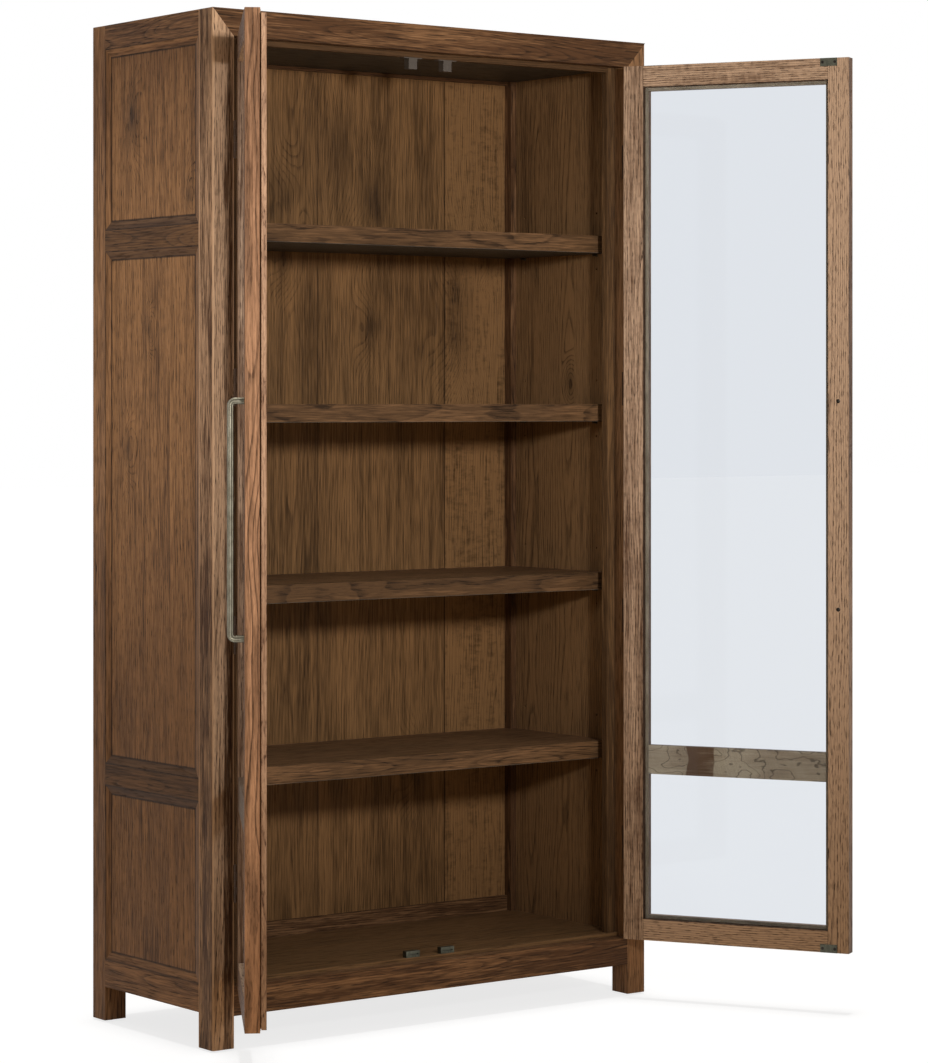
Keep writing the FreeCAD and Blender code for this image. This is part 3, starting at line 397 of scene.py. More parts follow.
# --- Finishes ---
@dataclass(frozen=True)
class Oak:
    """Open-pored oak with a stain that gathers in its pores, under satin lacquer."""

    name: str
    light: Colour
    dark: Colour
    pore: Colour
    ring: float = 0.0050
    ring_depth: float = 0.46
    pore_depth: float = 0.85
    pore_run: float = 21.0
    wander: float = 0.010
    contrast: float = 1.0
    # Lightening of the board's corners: edge wear and a painted highlight.
    wear_and_highlight: float = 0.0
    early: float = 0.38
    leaf_slip: float = 7.0
    leaf_tint: float = 0.22
    roughness: float = 0.46
    gloss: float = 0.08
    relief: float = 0.0007
    fibres: Pattern = Pattern(290, 14, 3)

    def material(self, board: Board) -> Material:
        """Make the finish of one board.

        Args:
            board: The board.

        Returns:
            Its material.
        """
        tree = Surface("%s_%s" % (self.name, board.node))
        draw = random.Random(board.node)
        shift = tuple(draw.uniform(0, 90) for _ in range(3))
        layout = Layout(tree, board)
        wide = int(layout.spans[1] > layout.spans[0])
        across, through, run = layout.axes[wide], layout.axes[1 - wide], layout.axes[2]
        pith_across: Number = draw.uniform(-0.2, 0.2) * layout.spans[wide]
        tone: Number = board.tone
        if board.leaf:
            leaf = across / board.leaf + draw.uniform(0, 1)
            seed = {"W": leaf.math("FLOOR") * 1.37 + shift[0]}
            chance = tree.add("ShaderNodeTexWhiteNoise", seed, "Color", noise_dimensions="1D")
            red, green, blue = tree.split(chance)
            across = (leaf.math("FRACT") - 0.5) * board.leaf
            pith_across = (red - 0.5) * board.leaf * 0.9
            run = run + green * self.leaf_slip
            tone = (blue - 0.5) * self.leaf_tint + board.tone
        point = tree.join((across, through, run))
        ripples = tree.noise(point, Pattern(50, 110, 1), shift)
        for zone in board.zones:
            tone = layout.within(zone) * (ripples * (2.6 * zone.ripple) + zone.lift) + tone
        slow = tree.noise(point, Pattern(9, 1.7, 1), shift)
        quick = tree.noise(point, Pattern(46, 7.5, 1.5), shift)
        rise = tree.noise(tree.join((0.0, 0.0, run)), Pattern(1, 2.3, 1), shift)
        sign = draw.choice((-1, 1))
        lean, sway = run * (board.lean * sign), rise * (4.0 * board.sway)
        if board.cut is Cut.FLAT:
            from_pith, beyond = across - pith_across + lean, through + board.pith + sway
        else:
            from_pith, beyond = across + board.pith * sign + sway, through + lean
        radius = (from_pith * from_pith + beyond * beyond).math("SQRT")
        spread = radius + slow * (2.2 * self.wander) + quick * (0.40 * self.wander)
        spots: Number = 0.0
        ring = self.ring * board.ring
        for knot in board.knots:
            side = (layout.axes[wide] - knot.across) / knot.radius
            length = (layout.axes[2] - knot.along) / (knot.radius * knot.stretch)
            away = (side * side + length * length + quick * 1.2).math("SQRT")
            spread = spread + away.step(0.0, 3.6, 1, 0) * (ring * 7.0)
            halo = away.step(0.1, 2.2, 1, 0) * 0.50 + away.step(0.15, 0.85, 1, 0) * 0.36
            spots = halo * knot.depth + spots
        for seam in board.seams:
            gap = abs(layout.placed[seam.axis] - seam.place)
            spots = gap.step(0.0004, seam.reach, 0.8, 0) + spots
        phase = (spread / ring).math("FRACT")
        early = phase.step(0.0, self.early, 1, 0).math("MAXIMUM", phase.step(0.93, 1.0))
        fibre = tree.noise(point, self.fibres, shift)
        streak = tree.noise(point, Pattern(70, 2.8, 3), shift)
        blotch = tree.noise(point, Pattern(8, 2.6), shift)
        dash = tree.noise(point, Pattern(310, self.pore_run, 2.5), shift)
        pores = dash.step(0.01, 0.11) * (early * 0.62 + 0.38)
        even = self.contrast / board.figure
        mixed = fibre * (2.1 * self.contrast) + streak * (1.6 * even) + blotch * (1.2 * even)
        colour = tree.blend((mixed + 0.42 - tone).held(), self.light, self.dark)
        stain = early * (blotch * 1.6 + 0.85).held() * (self.ring_depth * board.figure)
        colour = tree.blend(stain.held(), colour, self.pore)
        marked = pores * (self.pore_depth / board.figure) + spots
        colour = tree.blend(marked.held(), colour, self.pore)
        # Corners lightened towards the light colour: painted highlight where the rounded edges
        # catch the lamps, with some edge wear.
        if self.wear_and_highlight:
            reach = [abs(layout.axes[index]) - layout.spans[index] / 2 for index in range(2)]
            corner = reach[0].math("MINIMUM", reach[1]).step(-0.0045, -0.0012)
            edge_wear_and_highlight = (corner * (fibre * 1.4 + self.wear_and_highlight)).held()
            colour = tree.blend(edge_wear_and_highlight, colour, self.light)
        # The lip zone takes the lip colours: veneer on the door lips, painted shade on the
        # undersides of the top board and the shelves.
        if board.lip:
            cloud = tree.noise(point, Pattern(90, 24, 3), shift)
            lip_colours = tree.blend((cloud * 2.0 + 0.5).held(), *board.lip_colours)
            colour = tree.blend(layout.within(board.lip), colour, lip_colours)
        rough = pores * 0.16 + fibre * 0.12 + self.roughness
        bump = (fibre * 0.35 - pores - early * 0.35, self.relief, 0.75)
        return tree.finish(colour, rough, bump, Specular_IOR_Level=self.gloss)

    def dress(self, node: str, grain: Grain, **traits: Any) -> None:
        """Give this finish to a board of the frame that has the named traits."""
        paint(node, self.material(Board(node, grain, **traits)))

    def mitred(self, node: str, starts: tuple[float, ...], height: float) -> Material:
        """Make the finish of mitred mouldings, whose fibres turn at each corner.

        Args:
            node: The node of the mouldings.
            starts: Lower edges of the lengths that take the stain of the rail beside them.
            height: How high those lengths are.

        Returns:
            The material.
        """
        tree = Surface("%s_%s" % (self.name, node))
        draw = random.Random(node)
        shift = tuple(draw.uniform(0, 90) for _ in range(3))
        low, high = Board(node, Grain.ALONG_Z).extent()
        inner, outer = sorted((abs(low[0]), abs(high[0])))
        parts = tree.split(tree.place())
        normal = tree.split(tree.add("ShaderNodeTexCoord", output="Normal"))
        level = (abs(normal[2]) - abs(normal[1])).step(-0.02, 0.02)
        share: Number = 0.0
        pores: Number = 0.0
        for grain, weight in ((Grain.ALONG_Z, 1.0 - level), (Grain.ALONG_Y, level)):
            point = tree.join(parts[axis] for axis in grain.value)
            fibre = tree.noise(point, self.fibres, shift)
            streak = tree.noise(point, Pattern(90, 2.8, 3), shift)
            dash = tree.noise(point, Pattern(310, self.pore_run, 2.5), shift)
            share = (fibre * 1.6 + streak * 2.2 + 0.5) * weight + share
            pores = dash.step(0.02, 0.13) * weight + pores
        depth = abs(parts[0])
        edge = depth.step(outer - 0.0009, outer - 0.0001, 0, 0.7)
        groove = depth.step(inner, inner + 0.0011, 0.85, 0).math("MAXIMUM", edge)
        stained: Number = 0.0
        soft = 0.0005
        for start in starts:
            stained = parts[2].between(start - soft, start + height + soft, soft) + stained
        colour = tree.blend(share.held(), self.light, self.dark)
        colour = tree.blend((level * stained * 0.62).held(), colour, self.pore)
        marked = pores * self.pore_depth * 0.5 + groove
        colour = tree.blend(marked.held(), colour, self.pore)
        rough = pores * 0.16 + self.roughness
        bump = (share * 0.3 - pores, 0.0006, 0.7)
        return tree.finish(colour, rough, bump, Specular_IOR_Level=self.gloss)


@dataclass(frozen=True)
class Burl:
    """Grey-brown veneered burl with swirling figure and one browner length; other faces plain and
    darker, partly painted shade.
    """

    name: str
    pale: Colour
    brown: Colour
    line: Colour
    gloss: float = 0.10

    def material(self, board: Board, brown_length: tuple[float, float]) -> Material:
        """Make the finish of one cross bar.

        Args:
            board: The bar.
            brown_length: Where its browner length begins and ends, from the bar's middle.

        Returns:
            Its material.
        """
        tree = Surface("%s_%s" % (self.name, board.node))
        draw = random.Random(board.node)
        shift = tuple(draw.uniform(0, 40) for _ in range(3))
        layout = Layout(tree, board)
        half = layout.spans[0] / 2
        point = tree.join(layout.axes)
        swirl = tree.noise(point, Pattern(17, 9, 1.2), shift)
        curl = tree.noise(point, Pattern(60, 34, 1), shift)
        fibre = tree.noise(point, Pattern(480, 14), shift)
        wave = tree.noise(point, Pattern(20, 20, 1), shift)
        cloud = tree.noise(point, Pattern(22, 10), shift)
        rings = (swirl * 9.0 + curl * 1.4).math("FRACT")
        lines = rings.step(0.0, 0.13, 1, 0).math("MAXIMUM", rings.step(0.93, 1.0))
        browner = (layout.axes[2] + wave * 0.02).between(*brown_length, 0.002)
        # Faces other than the figured inner face are plain and darkened towards the line colour:
        # plain wood, and painted shade on the bars' outer faces.
        plain = layout.axes[0].step(half - 0.0014, half - 0.0006, 1, 0)
        darker = browner.math("MAXIMUM", plain)
        share = (darker * 0.75 + cloud * 1.4 + fibre * 0.8 + 0.2).held()
        colour = tree.blend(share, self.pale, self.brown)
        figured = (lines * (1.0 - darker) * 0.62 + lines * darker * 0.12).held()
        colour = tree.blend(figured, colour, self.line)
        colour = tree.blend(plain * 0.55, colour, self.line)
        bump = (fibre * 0.4 - lines, 0.0005, 0.6)
        return tree.finish(colour, fibre * 0.15 + 0.5, bump, Specular_IOR_Level=self.gloss)


@dataclass(frozen=True)
class Metal:
    """Brushed metal with a patina; with a bright colour, its edges are brighter, as wear and
    painted highlight.
    """

    name: str
    core: Colour
    tarnish: Colour
    roughness: float = 0.42
    metallic: float = 1.0
    bright: Optional[Colour] = None

    def material(self) -> Material:
        """Make the finish.

        Returns:
            The material.
        """
        tree = Surface(self.name)
        point = tree.place()
        brush = tree.noise(point, Pattern(900, 60), (3.1, 7.7, 1.9))
        cloud = tree.noise(point, Pattern(70, 45, 3), (11.0, 5.0, 2.0))
        spots = tree.noise(point, Pattern(420, 420), (1.0, 9.0, 4.0))
        share = (cloud * 1.9 + brush * 0.9 + spots * 0.7 + 0.5).held()
        colour = tree.blend(share, self.core, self.tarnish)
        rough = brush * 0.22 + cloud * 0.18 + self.roughness
        # Bright edges: wear, and a painted highlight on the bevels.
        if self.bright:
            edge = tree.add("ShaderNodeAttribute", output="Fac", attribute_name="edge_wear_and_highlight")
            wear_and_highlight = (edge.step(0.35, 0.95) * (spots * 0.9 + 0.85)).held()
            colour = tree.blend(wear_and_highlight, colour, self.bright)
            rough = rough - wear_and_highlight * 0.14
        bump = (brush * 0.5 + spots, 0.00012, 0.6)
        return tree.finish(colour, rough, bump, Metallic=self.metallic)


@dataclass(frozen=True)
class Moulded:
    """Moulded plastic with a fine matt grain."""

    name: str
    body: Colour
    scuffed: Colour
    roughness: float = 0.55

    def material(self) -> Material:
        """Make the finish.

        Returns:
            The material.
        """
        tree = Surface(self.name)
        point = tree.place()
        skin = tree.noise(point, Pattern(1500, 1500), (2.0, 5.0, 8.0))
        scuff = tree.noise(point, Pattern(120, 40, 4), (6.0, 1.0, 3.0))
        colour = tree.blend((scuff.step(0.05, 0.3) * 0.6).held(), self.body, self.scuffed)
        return tree.finish(colour, skin * 0.2 + self.roughness, (skin, 0.00008, 0.8))


@dataclass(frozen=True)
class Pane:
    """Clear float glass with a faint cool tint."""

    name: str
    tint: Colour
    mirror: float = 0.008

    def material(self) -> Material:
        """Make the finish.

        Returns:
            The material.
        """
        tree = Surface(self.name)
        dust = tree.noise(tree.place(), Pattern(60, 40, 3), (4.0, 2.0, 9.0))
        clear = tree.add("ShaderNodeBsdfTransparent", {"Color": (*self.tint, 1.0)})
        white = {"Color": (1.0, 1.0, 1.0, 1.0), "Roughness": 0.02}
        gloss = tree.add("ShaderNodeBsdfGlossy", white)
        rim = tree.add("ShaderNodeLayerWeight", {"Blend": 0.12}, "Fresnel")
        share = (rim * 0.4 + dust * 0.004 + self.mirror).held()
        mixed = tree.add("ShaderNodeMixShader", {0: share, 1: clear, 2: gloss})
        tree.add("ShaderNodeOutputMaterial", {"Surface": mixed})
        return tree.material


FRAME_OAK = Oak("frame_oak", srgb(148, 110, 77), srgb(82, 56, 36), srgb(38, 25, 16))
# Paler, lit copy of the frame oak for the front left post: painted light of the key lamp on its
# front face, and a strong painted highlight on its rounded corner.
LIT_POST_OAK = Oak(
    "post_oak", srgb(194, 157, 124), srgb(80, 54, 35), srgb(38, 25, 16), pore_run=42.0, wear_and_highlight=0.8
)
PANEL_OAK = Oak(
    "panel_oak", srgb(143, 105, 70), srgb(80, 54, 33), srgb(40, 26, 16), ring=0.0085,
    ring_depth=0.24, pore_depth=0.80, pore_run=34.0, contrast=1.15
)
DARK_OAK = Oak(
    "dark_oak", srgb(106, 76, 49), srgb(63, 42, 25), srgb(29, 20, 12), ring_depth=0.4,
    pore_depth=0.7
)
BACK_OAK = Oak(
    "back_oak", srgb(128, 94, 60), srgb(76, 54, 32), srgb(42, 28, 16), ring=0.0065, ring_depth=0.30,
    pore_depth=0.55, pore_run=13.0
)
INSIDE_OAK = Oak(
    "inside_oak", srgb(132, 99, 66), srgb(80, 58, 38), srgb(42, 29, 18), ring=0.006, pore_depth=0.6
)
SHELF_OAK = Oak("shelf_oak", srgb(134, 100, 70), srgb(82, 60, 40), srgb(40, 28, 19), contrast=0.85)
DOOR_OAK = Oak(
    "door_oak", srgb(184, 154, 128), srgb(98, 72, 54), srgb(46, 31, 23), pore_run=48.0, wear_and_highlight=0.15
)
STILE_OAK = Oak(
    "stile_oak", srgb(190, 143, 108), srgb(112, 80, 56), srgb(56, 37, 26), pore_run=48.0,
    wear_and_highlight=0.15
)
STRIP_OAK = Oak(
    "strip_oak", srgb(184, 148, 120), srgb(136, 104, 80), srgb(76, 52, 40), ring=0.004,
    pore_run=60.0
)
BAR_BURL = Burl("bar_burl", srgb(194, 182, 160), srgb(114, 90, 71), srgb(60, 50, 42))
PEWTER = Metal("pewter", srgb(128, 122, 106), srgb(92, 86, 72), bright=srgb(206, 196, 180))
BRONZE = Metal("bronze", srgb(88, 64, 46), srgb(62, 46, 34), 0.5, 0.3)
STEEL = Metal("steel", srgb(92, 91, 77), srgb(60, 59, 49), 0.4, 0.8)
BLACK_STEEL = Metal("black_steel", srgb(62, 56, 50), srgb(34, 30, 27), 0.36)
BROWN_PLASTIC = Moulded("brown_plastic", srgb(66, 57, 48), srgb(92, 82, 71))
BLACK_NYLON = Moulded("black_nylon", srgb(24, 23, 22), srgb(58, 56, 54), 0.62)
GLASS = Pane("door_glass", (0.862, 0.880, 0.905))


# --- Pieces that repeat or follow a path ---
def stand(name: str, data: ID) -> Object:
    """Put new data into the scene.

    Args:
        name: Name of its object.
        data: A mesh, a lamp or a camera.

    Returns:
        The object.
    """
    item = bpy.data.objects.new(name, data)
    bpy.context.scene.collection.objects.link(item)
    return item


def replace(node: str, mesh: Mesh, body: str) -> None:
    """Let a finished mesh stand for a node of the frame.

    Args:
        node: The node's name.
        mesh: The mesh, already in place, whose name the piece takes.
        body: The body that it rides on.
    """
    piece = stand(mesh.name, mesh)
    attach(piece, body)
    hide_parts(node)


class Growth(Tree):
    """A Geometry Nodes tree with named inputs, run once on a base mesh."""

    def __init__(self, name: str, inputs: dict[str, float]) -> None:
        """Make the tree.

        Args:
            name: The tree's name.
            inputs: The value of each named input.
        """
        tree = bpy.data.node_groups.new(name, "GeometryNodeTree")
        super().__init__(tree)
        for way in ("INPUT", "OUTPUT"):
            tree.interface.new_socket("Geometry", in_out=way, socket_type="NodeSocketGeometry")
        self.values: dict[str, float] = {}
        for title, value in inputs.items():
            kind = "NodeSocketInt" if isinstance(value, int) else "NodeSocketFloat"
            socket = tree.interface.new_socket(title, in_out="INPUT", socket_type=kind)
            self.values[socket.identifier] = value
        self.entry = tree.nodes.new("NodeGroupInput")

    def given(self, title: str = "Geometry") -> Shade:
        """The value of a named input."""
        return Shade(self, self.entry.outputs[title])

    def stored(self, title: str, kind: str) -> Shade:
        """The value of an attribute of the base mesh."""
        return self.add("GeometryNodeInputNamedAttribute", {"Name": title}, data_type=kind)

    def close(self, geometry: Shade, finish: Material) -> None:
        """End the tree: real instances, one finish, one output."""
        real = self.add("GeometryNodeRealizeInstances", {0: geometry})
        self.add("NodeGroupOutput", {0: self.add("GeometryNodeSetMaterial", {0: real, 2: finish})})

    def run(self, base: Mesh, name: str) -> Mesh:
        """Run the tree on a base mesh.

        Args:
            base: Points and paths that the tree reads.
            name: Name of the new mesh.

        Returns:
            The resulting plain mesh.
        """
        carrier = stand(name + "_base", base)
        modifier = carrier.modifiers.new(name, "NODES")
        modifier.node_group = self.nodes
        for identifier, value in self.values.items():
            modifier[identifier] = value
        graph = bpy.context.evaluated_depsgraph_get()
        mesh = bpy.data.meshes.new_from_object(carrier.evaluated_get(graph), depsgraph=graph)
        mesh.name = name
        carrier.modifiers.remove(modifier)
        bpy.data.objects.remove(carrier)
        return mesh


def loose_parts(node: str) -> list[np.ndarray]:
    """Split a node of the frame into its separate solids.

    Args:
        node: The node's name.

    Returns:
        The corner points of each solid.
    """
    work = bmesh.new()
    work.from_mesh(frame["nodes"][node].data)
    bmesh.ops.remove_doubles(work, verts=work.verts, dist=1e-6)
    left = set(work.verts)
    parts = []
    while left:
        stack = [left.pop()]
        found = []
        while stack:
            vertex = stack.pop()
            found.append(vertex.co[:])
            near = {edge.other_vert(vertex) for edge in vertex.link_edges} & left
            left -= near
            stack.extend(near)
        parts.append(np.array(found))
    work.free()
    return sorted(parts, key=lambda points: tuple(points.mean(0).round(4)))


@dataclass(frozen=True)
class Fixing:
    """One screw as the frame holds it: middle of its face, way out, head radius."""

    place: Vector
    outward: Vector
    radius: float

    @staticmethod
    def of_solid(points: np.ndarray) -> "Fixing":
        """Work out where a screw's head lies from the corner points of its solid.

        Args:
            points: The corner points.

        Returns:
            The screw's place, direction and size.
        """
        centre = points.mean(0)
        axis = np.linalg.svd(points - centre)[2][0]
        depth = (points - centre) @ axis
        away = np.linalg.norm(points - centre - np.outer(depth, axis), axis=1)
        if depth[away.argmax()] < (depth.max() + depth.min()) / 2:
            axis, depth = -axis, -depth
        return Fixing(Vector(centre + axis * depth.max()), Vector(axis), float(away.max()))


@dataclass
class Screws:
    """The screws of one body, with cross-recessed heads, drawn with a head radius of 1."""

    node: str
    body: str
    head_depth: float = 0.0017
    length: float = 0.0155
    recess: float = 0.0011
    drawn_radius: float = 0.0032
    domed_from: float = 0.004
    sides: int = 28
    dome: float = 0.49
    slot: tuple[float, float] = (1.15, 0.22)
    shank: float = 0.44
    overlap: float = 0.02

    def base(self, fixings: list[Fixing]) -> Mesh:
        """Points with each screw's direction and scale.

        Args:
            fixings: The screws.

        Returns:
            A mesh of loose points.
        """
        mesh = bpy.data.meshes.new(self.node + "_points")
        mesh.from_pydata([item.place for item in fixings], [], [])
        for name, kind in (("outward", "FLOAT_VECTOR"), ("size", "FLOAT")):
            mesh.attributes.new(name, kind, "POINT")
        for index, item in enumerate(fixings):
            mesh.attributes["outward"].data[index].vector = item.outward
            mesh.attributes["size"].data[index].value = item.radius
        return mesh

    def tree(self, head: Head, material: Material) -> Growth:
        """Build the tree that sets a screw on every point.

        Args:
            head: The shape of the heads.
            material: Their finish.

        Returns:
            The tree.
        """
        inputs = {"Head depth": self.head_depth, "Length": self.length, "Recess": self.recess}
        tree = Growth("%s_%s" % (self.node, head.value), inputs)
        depth, length, recess = (tree.given(name) * (1 / self.drawn_radius) for name in inputs)
        if head is Head.COUNTERSUNK:
            cone = {"Vertices": self.sides, "Radius Top": 1.0, "Radius Bottom": 0.5, "Depth": depth}
            cap = tree.add("GeometryNodeMeshCone", cone)
            moves = {"Translation": tree.join((0.0, 0.0, depth * -1.0))}
        else:
            ball = {"Segments": self.sides, "Rings": self.sides // 2, "Radius": 1.0}
            cap = tree.add("GeometryNodeMeshUVSphere", ball)
            moves = {"Scale": (1.0, 1.0, self.dome), "Translation": (0.0, 0.0, -self.dome)}
        cap = tree.add("GeometryNodeTransform", {"Geometry": cap, **moves})
        slots = [
            tree.add("GeometryNodeMeshCube", {"Size": tree.join((wide, high, recess * 2.0))})
            for wide, high in (self.slot, self.slot[::-1])
        ]
        solids = {"Mesh 1": cap, "Mesh 2": slots}
        how = {"operation": "DIFFERENCE", "solver": "EXACT"}
        cut = tree.add("GeometryNodeMeshBoolean", solids, **how)
        rod = {"Vertices": self.sides // 2, "Radius": self.shank, "Depth": length - depth}
        shank = tree.add("GeometryNodeMeshCylinder", rod)
        drop = tree.join((0.0, 0.0, (length + depth) * -0.5 - self.overlap))
        shank = tree.add("GeometryNodeTransform", {"Geometry": shank, "Translation": drop})
        way = {"Vector": tree.stored("outward", "FLOAT_VECTOR")}
        settled = {
            "Points": tree.add("GeometryNodeMeshToPoints", {0: tree.given()}),
            "Instance": tree.add("GeometryNodeJoinGeometry", {0: [cut, shank]}),
            "Rotation": tree.add("FunctionNodeAlignRotationToVector", way, axis="Z"),
            "Scale": tree.stored("size", "FLOAT")
        }
        tree.close(tree.add("GeometryNodeInstanceOnPoints", settled), material)
        return tree

    def build(self, material: Material) -> None:
        """Make the screws and let them stand for the frame's plain ones.

        Args:
            material: Their finish.
        """
        groups: dict[Head, list[Fixing]] = {head: [] for head in Head}
        for fixing in map(Fixing.of_solid, loose_parts(self.node)):
            domed = fixing.radius >= self.domed_from
            groups[Head.DOMED if domed else Head.COUNTERSUNK].append(fixing)
        for head, items in groups.items():
            if items:
                name = "%s_%s_heads" % (self.node, head.value)
                mesh = self.tree(head, material).run(self.base(items), name)
                replace(self.node, mesh, self.body)


@dataclass
class Pull:
    """A long bar pull: bevelled bar with a channel along both of its sides."""

    side: str
    swing: Swing
    bar: float = 0.013
    bend: float = 0.009
    bend_steps: int = 9
    bevel: float = 0.0020
    border: float = 0.0036
    channel: float = 0.0010

    def profile(self, breadth: float) -> list[tuple[float, float, float]]:
        """Outline of the bar, with a mark for the edges that take wear and painted highlight.

        Args:
            breadth: Size along the door.

        Returns:
            For each corner its place across the bar, up the bar, and how much edge wear and
            highlight it takes.
        """
        half, high, cut, rim = breadth / 2, self.bar / 2, self.bevel, self.border
        quarter = [
            (half - self.channel, 0.0, 0.0), (half - self.channel, high - rim, 0.0),
            (half, high - rim, 0.9), (half, high - cut, 1.0), (half - cut, high, 1.0),
            (0.0, high, 0.25)
        ]
        upper = quarter + [(-x, y, edge_wear_and_highlight) for x, y, edge_wear_and_highlight in reversed(quarter[:-1])]
        return upper + [(x, -y, edge_wear_and_highlight) for x, y, edge_wear_and_highlight in reversed(upper[1:-1])]

    def base(self, low: list[float], high: list[float]) -> Mesh:
        """Path and outline of the pull in the closed cabinet.

        Args:
            low: Lowest corner of the pull.
            high: Highest corner of the pull.

        Returns:
            A mesh of two strings of edges, of which the outline is marked.
        """
        middle, half = (low[0] + high[0]) / 2, self.bar / 2
        front, bottom, top = low[1] + half, low[2] + half, high[2] - half
        corners = ((high[1], bottom), (front, bottom), (front, top), (high[1], top))
        path = [(middle, *corner) for corner in corners]
        outline = self.profile(high[0] - low[0])
        first, count = len(path), len(outline)
        edges = [(index, index + 1) for index in range(first - 1)]
        edges += [(first + index, first + (index + 1) % count) for index in range(count)]
        mesh = bpy.data.meshes.new(self.side + "_pull_lines")
        mesh.from_pydata(path + [(x, y, 0.0) for x, y, _ in outline], edges, [])
        for name, kind in (("outline", "BOOLEAN"), ("edge_wear_and_highlight", "FLOAT")):
            mesh.attributes.new(name, kind, "POINT")
        for index, (_, _, wear_and_highlight) in enumerate(outline, first):
            mesh.attributes["outline"].data[index].value = True
            mesh.attributes["edge_wear_and_highlight"].data[index].value = wear_and_highlight
        return mesh

    def tree(self, material: Material) -> Growth:
        """Build the tree that runs the outline along the path.

        Args:
            material: The pull's finish.

        Returns:
            The tree.
        """
        name = self.side + "_pull_sweep"
        tree = Growth(name, {"Bend": self.bend, "Segments": self.bend_steps})
        lines = {"Geometry": tree.given(), "Selection": tree.stored("outline", "BOOLEAN")}
        outline = tree.add("GeometryNodeSeparateGeometry", lines, domain="POINT")
        path = Shade(tree, outline.socket.node.outputs["Inverted"])
        bar, way = (tree.add("GeometryNodeMeshToCurve", {0: line}) for line in (outline, path))
        corners = {
            "Curve": tree.add("GeometryNodeSetCurveNormal", {"Curve": way}),
            "Count": tree.given("Segments"), "Radius": tree.given("Bend")
        }
        rounded = tree.add("GeometryNodeFilletCurve", corners, mode="POLY")
        sweep = {"Curve": rounded, "Profile Curve": bar, "Fill Caps": True}
        tree.close(tree.add("GeometryNodeCurveToMesh", sweep), material)
        return tree

    def build(self, material: Material) -> None:
        """Make the pull and let it stand for the frame's own.

        Args:
            material: Its finish.
        """
        node = self.side + "_door_pull"
        extent = Board(node, Grain.ALONG_Z, swing=self.swing).extent()
        mesh = self.tree(material).run(self.base(*extent), node + "_bar")
        work = bmesh.new()
        work.from_mesh(mesh)
        bmesh.ops.recalc_face_normals(work, faces=work.faces)
        work.to_mesh(mesh)
        work.free()
        mesh.transform(self.swing.closing().inverted())
        replace(node, mesh, self.side + "_door")


